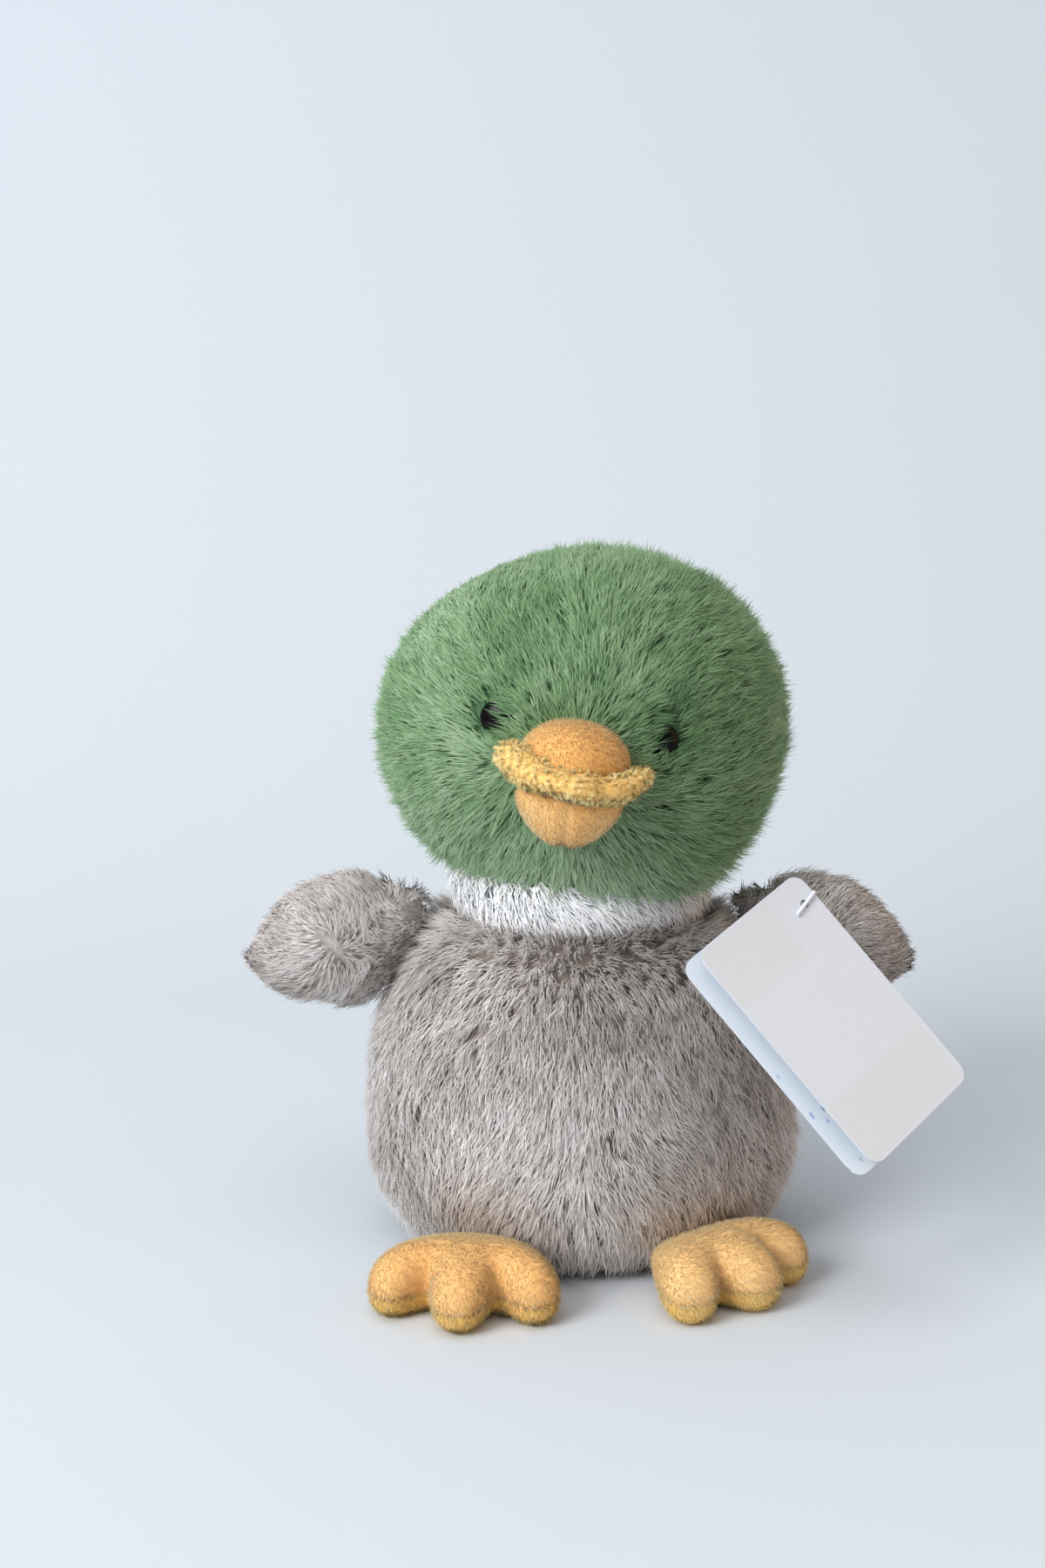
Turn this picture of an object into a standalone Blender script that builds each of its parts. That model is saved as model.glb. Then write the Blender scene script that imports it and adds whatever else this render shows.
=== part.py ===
"""Stuffed plush duck, 25 cm tall, that sits on a weighted base with a folded card tag on its left wing.

Frame: metres, +Z up, the duck faces -Y, its own left side is +X, and the origin is the middle of its base.
"""

import math

import bmesh
import bpy
from mathutils import Matrix, Vector

MM = 0.001

# Clearances and finish
SEAT_GAP = 0.3 * MM  # between two pieces that touch
FILLING_GAP = 0.6 * MM  # between a cover and its filling
ROLL_GAP = 0.8 * MM  # between the head and the neck band that it rolls on
OVERRUN = 3.0 * MM  # how far a cutter runs past what it cuts
FLOOR_CUT = 0.5 * MM  # depth of the flat pressed into soft undersides
SADDLE_LIMIT = 1.4  # times the cloth's thickness
CREASE_ANGLE = math.radians(40.0)  # an edge bent more than this is drawn sharp
WELD = 0.05 * MM  # points closer than this are one
FORM_LEVELS = 2
SPACE_LEVELS = 1
RING_SIDES = 6

# Body
BODY_WIDTH = 154.0 * MM
BODY_DEPTH = 136.0 * MM
BODY_HEIGHT = 132.0 * MM  # of the closed form, before the neck cut
BODY_COVER = 5.0 * MM  # backing cloth and pile together
NECK_DROP = 15.0 * MM  # of the neck edge below the top of the closed form
NECK_HOLE_RADIUS = 34.0 * MM
BODY_RING_SHARES = (  # height of BODY_HEIGHT, half width, half depth
    (0.000, 0.38, 0.38),
    (0.000, 0.74, 0.74),
    (0.085, 0.94, 0.94),
    (0.330, 1.03, 1.02),
    (0.630, 0.99, 1.00),
    (0.880, 0.70, 0.72),
    (0.990, 0.30, 0.30),
)

# Weighted pouch in the base
POUCH_RADIUS = 40.0 * MM
POUCH_HEIGHT = 24.0 * MM
POUCH_CLOTH = 1.2 * MM
POUCH_MOUTH_WIDTH = 14.0 * MM
POUCH_MOUTH_HEIGHT = 1.5 * MM
POUCH_WELL_SHARE = 0.9  # of its radius, open under the filling
POUCH_RING_SHARES = ((0.00, 0.55, 0.55), (0.22, 1.00, 1.00), (0.70, 0.98, 0.98), (1.00, 0.55, 0.55))

# Neck band
BAND_RADIUS = 47.0 * MM
BAND_BULGE = 2.5 * MM
BAND_WALL = 11.0 * MM
BAND_HEIGHT = 24.0 * MM  # before the head is cut out of it
BAND_STEPS = 30
BAND_ARC_POINTS = 4

# Head
HEAD_WIDTH = 147.0 * MM
HEAD_DEPTH = 134.0 * MM
HEAD_HEIGHT = 129.0 * MM
HEAD_LIFT = 3.0 * MM  # of the closed form's lowest point above the neck edge
HEAD_COVER = 6.0 * MM
HEAD_HOLE_RADIUS = 31.0 * MM
HEAD_HOLE_DEPTH = 22.0 * MM
HEAD_RINGS = 5
FACE_ROLL = math.radians(7.7)  # the face leans to the duck's left
FACE_YAW = math.radians(3.0)  # and looks a little to its right

# Eyes, placed from the head's centre
EYE_SPACING = 58.0 * MM
EYE_RISE = 7.0 * MM
EYE_BEAD_RADIUS = 5.5 * MM
EYE_BEAD_HEIGHT = 5.0 * MM
EYE_BEAD_EDGE = 0.6 * MM  # of its back rim
EYE_STEM_RADIUS = 1.6 * MM
EYE_STEM_LENGTH = 11.0 * MM
EYE_BACKING = 2.0 * MM  # cloth left between the bead and the filling
EYE_PIT_RADIUS = 6.6 * MM
WASHER_RADIUS = 6.0 * MM
WASHER_THICKNESS = 1.6 * MM
WASHER_GAP = 0.9 * MM  # behind the cloth
EYE_ARC_POINTS = 4
TURNED_STEPS = 16

# Beak, placed from the head's centre in the face's frame
BEAK_COVER = 2.2 * MM
BEAK_GAP = 0.5 * MM  # between its small, tightly curved pieces
DOME_WIDTH = 37.0 * MM
DOME_DEPTH = 46.0 * MM
DOME_HEIGHT = 27.0 * MM
DOME_REACH = 22.0 * MM  # out of the head's front
DOME_TOP = 11.5 * MM
DOME_RINGS = 4
BRIM_WIDTH = 52.0 * MM
BRIM_HEIGHT = 12.5 * MM
BRIM_DEPTH = 37.0 * MM
BRIM_REACH = 29.0 * MM  # out of the head's front
BRIM_RISE = -5.5 * MM
BRIM_RING_SHARES = (  # place along the width, then half depth, half height, way back, way up
    (-1.00, 0.22, 0.50, 0.50, 0.40),
    (-0.72, 0.72, 1.05, 0.24, 0.16),
    (0.00, 1.00, 0.86, 0.00, -0.24),
    (0.72, 0.72, 1.05, 0.24, 0.16),
    (1.00, 0.22, 0.50, 0.50, 0.40),
)
BILL_WIDTH = 37.0 * MM
BILL_DEPTH = 34.0 * MM
BILL_HEIGHT = 24.0 * MM
BILL_REACH = 19.0 * MM  # out of the head's front
BILL_TOP = -7.0 * MM
BILL_RING_SHARES = (  # height of BILL_HEIGHT, half width, half depth
    (0.00, 0.40, 0.50),
    (0.42, 0.96, 0.96),
    (1.00, 0.90, 0.88),
)

# Wings, each in the frame of its seam: X out of the body, Z up along the seam
WING_REACH = 53.0 * MM
WING_HEIGHT = 58.0 * MM
WING_THICKNESS = 29.0 * MM
WING_DROP = -9.5 * MM  # middle of the wing's height, from the middle of the seam
WING_COVER = 3.5 * MM
WING_ROOT = 5.0 * MM  # of flat cloth without filling along the seam
WING_SEAM_INSET = 17.0 * MM  # of the middle of the seam from the body's widest side
WING_SEAM_FORWARD = 6.0 * MM
WING_SEAM_DROP = 27.0 * MM  # below the top of the body's closed form
WING_SEAM_LEAN = math.radians(28.0)  # the seam follows the shoulder's slope
WING_SWING = math.radians(25.0)  # either way about its seam without touching the body
WING_SLIT_REACH = 18.0 * MM
WING_SLIT_LENGTH = 26.0 * MM
WING_SLIT_WIDTH = 1.2 * MM
WING_RING_SHARES = (  # reach, middle of the height, half height, half thickness
    (0.000, 0.20, 0.66, 0.06),
    (0.180, 0.12, 0.88, 0.84),
    (0.520, -0.03, 1.02, 1.10),
    (0.840, -0.18, 0.80, 0.74),
    (1.000, -0.36, 0.40, 0.30),
)

# Tail stub at the back
TAIL_REACH = 30.0 * MM
TAIL_WIDTH = 40.0 * MM
TAIL_THICKNESS = 24.0 * MM
TAIL_COVER = 3.5 * MM
TAIL_HEIGHT = 44.0 * MM  # of its root above the floor
TAIL_TUCK = 10.0 * MM  # of its root inside the body's back
TAIL_LIFT = math.radians(28.0)
TAIL_RING_SHARES = (  # reach, half thickness, half width
    (0.00, 0.90, 0.88),
    (0.56, 1.00, 1.00),
    (1.00, 0.42, 0.42),
)

# Feet, each in the frame of its seam: -Y towards the toes
FOOT_THICKNESS = 23.0 * MM
FOOT_COVER = 2.2 * MM
FOOT_FILLING_GAP = 1.2 * MM  # wide enough for the folds between the toes
FOOT_LENGTH = {"left": 45.0 * MM, "right": 54.0 * MM}  # seam to the middle toe; the left is pushed under
FOOT_WIDTH = 63.0 * MM
FOOT_SEAM_RISE = 9.0 * MM  # of the foot's seam plane above the floor
FOOT_PANEL_RISE = 8.0 * MM  # of the edge where upper and sole meet
FOOT_ROOT = 5.0 * MM  # of flat cloth without filling along the seam
FOOT_X = {"left": 31.0 * MM, "right": -35.0 * MM}
FOOT_TUCK = {"left": 17.5 * MM, "right": 18.0 * MM}  # of its seam behind the body's front
FOOT_FLEX = math.radians(12.0)  # either way about its seam without touching the body
FOOT_TURN = {"left": math.radians(43.0), "right": math.radians(-8.0)}
PALM_SHARES = (  # across half the width, along the length
    (-0.42, 0.00),
    (0.42, 0.00),
    (0.76, -0.32),
    (0.31, -0.53),
    (-0.31, -0.53),
    (-0.76, -0.32),
)
HEEL_THICKNESS_SHARE = 0.16  # of the foot's thickness
TOE_LENGTH_SHARE = 0.41  # of the foot's length
TOE_END_SHARE = 1.18  # toe end against toe root
TOE_TOP_SHARE = 0.55  # height of the toe end's top against the palm's
TOE_FACING_SHARE = 0.3  # a side of the palm that faces this much forward carries a toe

# Card tag and its fastener
TAG_LENGTH = 88.0 * MM
TAG_WIDTH = 54.0 * MM
TAG_BACK_MARGIN = 4.5 * MM  # the back leaf is this much wider than the front one
TAG_CARD = 0.45 * MM
TAG_LEAF_GAP = 0.7 * MM  # between the leaves at the fold
TAG_HOLE_CUT = 30.0 * MM  # long enough to pass both leaves
TAG_OPENING = math.radians(4.0)
TAG_CORNER = 5.0 * MM
TAG_CORNER_STEPS = 4
TAG_HOLE_RADIUS = 1.6 * MM
TAG_HOLE_FROM_END = 10.0 * MM
TAG_HOLE_FROM_FOLD = 6.2 * MM
TAG_HOLE_OUT = 13.5 * MM  # from the middle of the wing's seam
TAG_HOLE_FORWARD = 42.0 * MM
TAG_HOLE_UP = 25.0 * MM
TAG_FACING = Vector((0.38, -0.72, 0.585))  # the way the front leaf looks
TAG_RUN = Vector((0.64, -0.26, -0.725))  # the way its long side runs from the hole
FASTENER_BAR_LENGTH = 12.0 * MM
FASTENER_BAR_RADIUS = 0.6 * MM
FASTENER_BAR_TURN = math.radians(100.0)  # of the front bar from the tag's long side
FASTENER_THREAD_RADIUS = 0.4 * MM
FASTENER_BEND = 14.0 * MM  # how far the thread keeps each end's direction
FASTENER_POINTS = 9
FASTENER_SIDES = 8
FASTENER_RINGS = 2  # of the thread's round section
NEEDLE_RADIUS = 1.0 * MM  # of the hole that the thread takes through the wing
ANCHOR_REACH = 14.0 * MM  # of the inner bar from the wing's seam
ANCHOR_RISE = 6.0 * MM
ANCHOR_FORWARD = 8.0 * MM  # of the inner bar from the middle of the wing's thickness


def linear(code):
    """The linear colour of an sRGB hex code."""
    values = [int(code[place:place + 2], 16) / 255 for place in (0, 2, 4)]
    return [v / 12.92 if v <= 0.04045 else ((v + 0.055) / 1.055) ** 2.4 for v in values] + [1.0]


MATERIALS = {  # colour, roughness, metallic
    "green_fur": ("5f7d4b", 0.95, 0.0),
    "taupe_fur": ("a2978f", 0.95, 0.0),
    "white_fur": ("f0f1ef", 0.95, 0.0),
    "orange_plush": ("e8a44c", 0.90, 0.0),
    "yellow_plush": ("ecc765", 0.90, 0.0),
    "fibre_filling": ("f3f1ea", 1.00, 0.0),
    "pouch_cloth": ("e4e1d8", 0.90, 0.0),
    "pellet_plastic": ("d8dcdf", 0.50, 0.0),
    "eye_plastic": ("0b0a0a", 0.08, 0.0),
    "washer_plastic": ("e9e9e5", 0.45, 0.0),
    "tag_card": ("e9eaf0", 0.65, 0.0),
    "fastener_plastic": ("f2f5fb", 0.30, 0.0),
}


def clear_scene():
    for old in list(bpy.context.scene.objects):
        bpy.data.objects.remove(old, do_unlink=True)


def new_collection(name):
    group = bpy.data.collections.new(name)
    bpy.context.scene.collection.children.link(group)
    return group


def make_materials():
    made = {}
    for name, (code, roughness, metallic) in MATERIALS.items():
        material = bpy.data.materials.new(name)
        material.use_nodes = True
        shader = material.node_tree.nodes["Principled BSDF"]
        shader.inputs["Base Color"].default_value = linear(code)
        shader.inputs["Roughness"].default_value = roughness
        shader.inputs["Metallic"].default_value = metallic
        made[name] = material
    return made


def add_object(name, mesh, group, parent=None, matrix=None):
    """A new object in the group, with its place given in its parent's frame."""
    made = bpy.data.objects.new(name, mesh)
    group.objects.link(made)
    made.parent = parent
    if matrix:
        made.matrix_local = matrix
    return made


def add_empty(name, group, parent=None, matrix=None):
    made = add_object(name, None, group, parent, matrix)
    made.empty_display_size = SEAT_GAP
    return made


def as_cutter(cutter):
    cutter.hide_render = True
    cutter.display_type = "WIRE"
    return cutter


def finish(piece, material):
    piece.data.materials.clear()
    piece.data.materials.append(material)
    piece.data.shade_smooth()
    piece.data.set_sharp_from_angle(angle=CREASE_ANGLE)
    return piece


def mesh_from(work, name):
    mesh = bpy.data.meshes.new(name)
    work.to_mesh(mesh)
    work.free()
    return mesh


def evaluated_mesh(piece):
    """A mesh of the piece as its modifiers leave it, in its own frame."""
    bpy.context.view_layer.update()
    graph = bpy.context.evaluated_depsgraph_get()
    return bpy.data.meshes.new_from_object(piece.evaluated_get(graph), depsgraph=graph)


def subdivide(piece, levels):
    modifier = piece.modifiers.new("Soft form", "SUBSURF")
    modifier.levels = levels
    modifier.render_levels = levels


def cut(piece, cutter):
    modifier = piece.modifiers.new("Cut by " + cutter.name, "BOOLEAN")
    modifier.operation = "DIFFERENCE"
    modifier.solver = "EXACT"
    modifier.object = cutter


def ring_cage(rings):
    """A closed cage of rings stacked along Z: each is height, middle x, middle y, half x, half y."""
    work = bmesh.new()
    bmesh.ops.create_circle(work, segments=RING_SIDES, radius=1)
    last = (0, 0, 0, 1, 1)
    points, edges = list(work.verts), list(work.edges)
    for number, ring in enumerate(rings):
        if number:
            made = bmesh.ops.extrude_edge_only(work, edges=edges)["geom"]
            points = [item for item in made if isinstance(item, bmesh.types.BMVert)]
            edges = [item for item in made if isinstance(item, bmesh.types.BMEdge)]
        height, middle_x, middle_y, half_x, half_y = ring
        for point in points:
            across = (point.co.x - last[1]) / last[3]
            along = (point.co.y - last[2]) / last[4]
            point.co = (middle_x + across * half_x, middle_y + along * half_y, height)
        last = ring
    bmesh.ops.holes_fill(work, edges=[edge for edge in work.edges if edge.is_boundary], sides=0)
    bmesh.ops.recalc_face_normals(work, faces=work.faces)
    return work


def ball_rings(count):
    """Unit rings of a ball, equally spaced from its lower to its upper end."""
    rings = []
    for number in range(count):
        angle = math.pi * (number + 0.5) / count
        rings.append((-math.cos(angle), 0, 0, math.sin(angle), math.sin(angle)))
    return rings


def fit(piece, low, high):
    """Scales and shifts the piece's cage so that its soft form fills the box from low to high."""
    form = evaluated_mesh(piece)
    for axis in range(3):
        values = [point.co[axis] for point in form.vertices]
        bottom, top = min(values), max(values)
        scale = (high[axis] - low[axis]) / (top - bottom)
        for point in piece.data.vertices:
            point.co[axis] = low[axis] + (point.co[axis] - bottom) * scale
    bpy.data.meshes.remove(form)


def soft_form(name, work, low, high, group, parent=None, matrix=None, levels=FORM_LEVELS):
    """A soft form from a cage, filling the box from low to high in its own frame."""
    form = add_object(name, mesh_from(work, name), group, parent, matrix)
    subdivide(form, levels)
    fit(form, low, high)
    return form


def offset_copy(name, form, distance, levels, group):
    """A plain solid that follows the form's surface at a distance: in where it is negative."""
    shown = form.modifiers["Soft form"]
    own_levels = shown.levels
    shown.levels = levels
    mesh = evaluated_mesh(form)
    shown.levels = own_levels
    work = bmesh.new()
    work.from_mesh(mesh)
    work.normal_update()
    moves = [(point, point.normal * distance * point.calc_shell_factor()) for point in work.verts]
    for point, move in moves:
        point.co += move
    bpy.data.meshes.remove(mesh)
    made = add_object(name, mesh_from(work, name), group, form.parent, form.matrix_local.copy())
    return made


def shrunk_copy(name, form, low, high, group):
    """A plainer copy of the form's cage that fills the box from low to high in the form's frame."""
    made = add_object(name, form.data.copy(), group, form.parent, form.matrix_local.copy())
    subdivide(made, SPACE_LEVELS)
    fit(made, low, high)
    return made


def box_cutter(name, low, high, group, parent=None, matrix=None):
    work = bmesh.new()
    bmesh.ops.create_cube(work, size=1)
    size = Vector(high) - Vector(low)
    middle = (Vector(high) + Vector(low)) / 2
    bmesh.ops.scale(work, vec=size, verts=work.verts)
    bmesh.ops.translate(work, vec=middle, verts=work.verts)
    return as_cutter(add_object(name, mesh_from(work, name), group, parent, matrix))


def rod(name, radius, bottom, top, sides, group, parent=None, matrix=None):
    """A round rod along Z from bottom to top."""
    work = bmesh.new()
    bmesh.ops.create_cone(
        work, cap_ends=True, segments=sides, radius1=radius, radius2=radius, depth=top - bottom
    )
    bmesh.ops.translate(work, vec=(0, 0, (top + bottom) / 2), verts=work.verts)
    return add_object(name, mesh_from(work, name), group, parent, matrix)


def turned(name, profile, steps, group, parent=None, matrix=None):
    """A solid turned about Z from a profile of (radius, height) points that runs down its outer side."""
    work = bmesh.new()
    points = [work.verts.new((radius, 0, height)) for radius, height in profile]
    pairs = list(zip(points, points[1:]))
    if profile[0][0] > 0:
        pairs.append((points[-1], points[0]))
    for start, end in pairs:
        work.edges.new((start, end))
    made = add_object(name, mesh_from(work, name), group, parent, matrix)
    screw = made.modifiers.new("Turned", "SCREW")
    screw.steps = steps
    screw.render_steps = steps
    screw.use_merge_vertices = True
    screw.merge_threshold = WELD
    screw.use_normal_calculate = True
    return made


def face_matrix():
    """The face's frame about the head's centre."""
    return Matrix.Rotation(-FACE_YAW, 4, "Z") @ Matrix.Rotation(FACE_ROLL, 4, "Y")


def neck_height():
    """The body's neck edge above the floor."""
    return BODY_HEIGHT - NECK_DROP


def head_centre():
    return Vector((0, 0, neck_height() + HEAD_LIFT + HEAD_HEIGHT / 2))


def wing_seam():
    """The middle of the left wing's seam."""
    return Vector((BODY_WIDTH / 2 - WING_SEAM_INSET, -WING_SEAM_FORWARD, BODY_HEIGHT - WING_SEAM_DROP))


def build_body(parts, cutters, materials):
    """The body's cover and filling, its weighted pouch, and the closed form that cuts its neighbours."""
    rings = [
        (height * BODY_HEIGHT, 0, 0, wide * BODY_WIDTH / 2, deep * BODY_DEPTH / 2)
        for height, wide, deep in BODY_RING_SHARES
    ]
    low = (-BODY_WIDTH / 2, -BODY_DEPTH / 2, -FLOOR_CUT)
    high = (BODY_WIDTH / 2, BODY_DEPTH / 2, BODY_HEIGHT)
    cover = soft_form("body_cover", ring_cage(rings), low, high, parts)
    space = as_cutter(offset_copy("body_space", cover, -BODY_COVER, SPACE_LEVELS, cutters))
    filling = offset_copy("body_filling", cover, -BODY_COVER - FILLING_GAP, SPACE_LEVELS, parts)
    guard = as_cutter(offset_copy("body_guard", cover, SEAT_GAP, FORM_LEVELS, cutters))

    side = BODY_WIDTH + OVERRUN
    floor = box_cutter("floor_cut", (-side, -side, -side), (side, side, 0), cutters)
    neck = neck_height()
    neck_plane = box_cutter("neck_plane", (-side, -side, neck), (side, side, BODY_HEIGHT + OVERRUN), cutters)
    neck_hole = as_cutter(
        rod(
            "neck_hole",
            NECK_HOLE_RADIUS,
            neck - BODY_COVER - OVERRUN,
            BODY_HEIGHT + OVERRUN,
            BAND_STEPS,
            cutters,
        )
    )
    for cutter in (space, floor, neck_plane, neck_hole):
        cut(cover, cutter)

    pouch_low = (-POUCH_RADIUS, -POUCH_RADIUS, BODY_COVER - FLOOR_CUT + SEAT_GAP)
    pouch_high = (POUCH_RADIUS, POUCH_RADIUS, pouch_low[2] + POUCH_HEIGHT)
    rings = [
        (height * POUCH_HEIGHT, 0, 0, wide * POUCH_RADIUS, deep * POUCH_RADIUS)
        for height, wide, deep in POUCH_RING_SHARES
    ]
    pouch = soft_form("pellet_pouch", ring_cage(rings), pouch_low, pouch_high, parts, levels=SPACE_LEVELS)
    pouch_guard = as_cutter(offset_copy("pouch_guard", pouch, SEAT_GAP, SPACE_LEVELS, cutters))
    mouth_height = pouch_low[2] + POUCH_HEIGHT / 2
    well_radius = POUCH_RADIUS * POUCH_WELL_SHARE
    pouch_well = as_cutter(rod("pouch_well", well_radius, 0, mouth_height, BAND_STEPS, cutters))
    pouch_space = as_cutter(offset_copy("pouch_space", pouch, -POUCH_CLOTH, SPACE_LEVELS, cutters))
    pellets = offset_copy("pellet_fill", pouch, -POUCH_CLOTH - SEAT_GAP, SPACE_LEVELS, parts)
    mouth = box_cutter(
        "pouch_mouth",
        (-POUCH_MOUTH_WIDTH / 2, POUCH_RADIUS / 2, mouth_height - POUCH_MOUTH_HEIGHT / 2),
        (POUCH_MOUTH_WIDTH / 2, POUCH_RADIUS + OVERRUN, mouth_height + POUCH_MOUTH_HEIGHT / 2),
        cutters,
    )
    cut(pouch, pouch_space)
    cut(pouch, mouth)
    cut(filling, pouch_guard)
    cut(filling, pouch_well)
    cut(filling, neck_plane)

    finish(cover, materials["taupe_fur"])
    finish(filling, materials["fibre_filling"])
    finish(pouch, materials["pouch_cloth"])
    finish(pellets, materials["pellet_plastic"])
    return guard, floor


def build_head(parts, cutters, materials):
    """The head's cover and filling on their turn and nod axes, and the form that cuts what meets them."""
    turn = add_empty("head_turn_axis", parts, None, Matrix.Translation(head_centre()))
    nod = add_empty("head_nod_axis", parts, turn)
    size = Vector((HEAD_WIDTH, HEAD_DEPTH, HEAD_HEIGHT))
    cover = soft_form("head_cover", ring_cage(ball_rings(HEAD_RINGS)), -size / 2, size / 2, parts, nod)
    space = as_cutter(offset_copy("head_space", cover, -HEAD_COVER, SPACE_LEVELS, cutters))
    filling = offset_copy("head_filling", cover, -HEAD_COVER - FILLING_GAP, SPACE_LEVELS, parts)
    guard = as_cutter(offset_copy("head_guard", cover, SEAT_GAP, FORM_LEVELS, cutters))
    roll_guard = as_cutter(offset_copy("head_roll_guard", cover, ROLL_GAP, FORM_LEVELS, cutters))
    hole = as_cutter(
        rod(
            "head_hole",
            HEAD_HOLE_RADIUS,
            -HEAD_HEIGHT / 2 - OVERRUN,
            -HEAD_HEIGHT / 2 + HEAD_HOLE_DEPTH,
            BAND_STEPS,
            cutters,
            nod,
        )
    )
    cut(cover, space)
    cut(cover, hole)
    face = add_empty("face_axis", parts, nod, face_matrix())
    finish(cover, materials["green_fur"])
    finish(filling, materials["fibre_filling"])
    return turn, face, cover, filling, guard, roll_guard


def build_neck_band(parts, materials, turn, roll_guard):
    """A puffed ring of white plush between body and head."""
    bottom = neck_height() + SEAT_GAP - head_centre().z
    top = bottom + BAND_HEIGHT
    inner = BAND_RADIUS - BAND_WALL
    profile = [(inner, top)]
    for number in range(BAND_ARC_POINTS):
        share = number / (BAND_ARC_POINTS - 1)
        bulge = BAND_BULGE * math.sin(math.pi * share)
        profile.append((BAND_RADIUS + bulge, top + (bottom - top) * share))
    profile.append((inner, bottom))
    band = turned("neck_band", profile, BAND_STEPS, parts, turn)
    cut(band, roll_guard)
    finish(band, materials["white_fur"])


def eye_place(side):
    """The frame of an eye's seat on the head's surface, with Z out of the head."""
    half = Vector((HEAD_WIDTH, HEAD_DEPTH, HEAD_HEIGHT)) / 2
    across = side * EYE_SPACING / 2
    depth = math.sqrt(1 - (across / half.x) ** 2 - (EYE_RISE / half.z) ** 2)
    spot = Vector((across, -half.y * depth, EYE_RISE))
    outward = Vector((spot.x / half.x**2, spot.y / half.y**2, spot.z / half.z**2)).normalized()
    seat = spot - outward * (HEAD_COVER - EYE_BACKING)
    return Matrix.Translation(seat) @ outward.to_track_quat("Z", "Y").to_matrix().to_4x4()


def build_eyes(parts, cutters, materials, face, head_cover, head_filling):
    """Two eye beads on stems, each held by a washer behind the cloth."""
    for name, side in (("left", 1), ("right", -1)):
        place = eye_place(side)
        profile = [(0, SEAT_GAP + EYE_BEAD_HEIGHT)]
        for number in range(1, EYE_ARC_POINTS):
            angle = math.pi / 2 * number / EYE_ARC_POINTS
            drop = EYE_BEAD_HEIGHT * math.cos(angle)
            profile.append((EYE_BEAD_RADIUS * math.sin(angle), SEAT_GAP + drop))
        profile.append((EYE_BEAD_RADIUS, SEAT_GAP + EYE_BEAD_EDGE))
        profile.append((EYE_BEAD_RADIUS - EYE_BEAD_EDGE, SEAT_GAP))
        profile.append((EYE_STEM_RADIUS, SEAT_GAP))
        profile.append((EYE_STEM_RADIUS, -EYE_STEM_LENGTH))
        profile.append((0, -EYE_STEM_LENGTH))
        eye = turned("eye_" + name, profile, TURNED_STEPS, parts, face, place)

        front = -EYE_BACKING - WASHER_GAP
        back = front - WASHER_THICKNESS
        bore = EYE_STEM_RADIUS + SEAT_GAP
        ring = [(bore, back), (WASHER_RADIUS, back), (WASHER_RADIUS, front), (bore, front)]
        washer = turned("eye_washer_" + name, ring, TURNED_STEPS, parts, face, place)
        washer.modifiers["Turned"].use_normal_flip = True

        pit_top = HEAD_COVER + OVERRUN
        pit = rod("eye_pit_" + name, EYE_PIT_RADIUS, 0, pit_top, TURNED_STEPS, cutters, face, place)
        hole = rod(
            "stem_hole_" + name,
            EYE_STEM_RADIUS + SEAT_GAP,
            -EYE_STEM_LENGTH,
            OVERRUN,
            TURNED_STEPS,
            cutters,
            face,
            place,
        )
        room = rod(
            "washer_room_" + name,
            WASHER_RADIUS + SEAT_GAP,
            -EYE_STEM_LENGTH - SEAT_GAP,
            HEAD_COVER,
            TURNED_STEPS,
            cutters,
            face,
            place,
        )
        seat = rod(
            "washer_seat_" + name,
            WASHER_RADIUS + SEAT_GAP,
            back - OVERRUN,
            front + SEAT_GAP,
            TURNED_STEPS,
            cutters,
            face,
            place,
        )
        cut(head_cover, as_cutter(pit))
        cut(head_cover, as_cutter(hole))
        cut(head_cover, as_cutter(seat))
        cut(head_filling, as_cutter(room))
        finish(eye, materials["eye_plastic"])
        finish(washer, materials["washer_plastic"])


def sideways(work):
    """Turns a cage that is stacked along Z so that it is stacked along X, with its x as depth."""
    turn = Matrix(((0, 0, 1), (1, 0, 0), (0, 1, 0)))
    bmesh.ops.transform(work, matrix=turn.to_4x4(), verts=work.verts)
    return work


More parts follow.
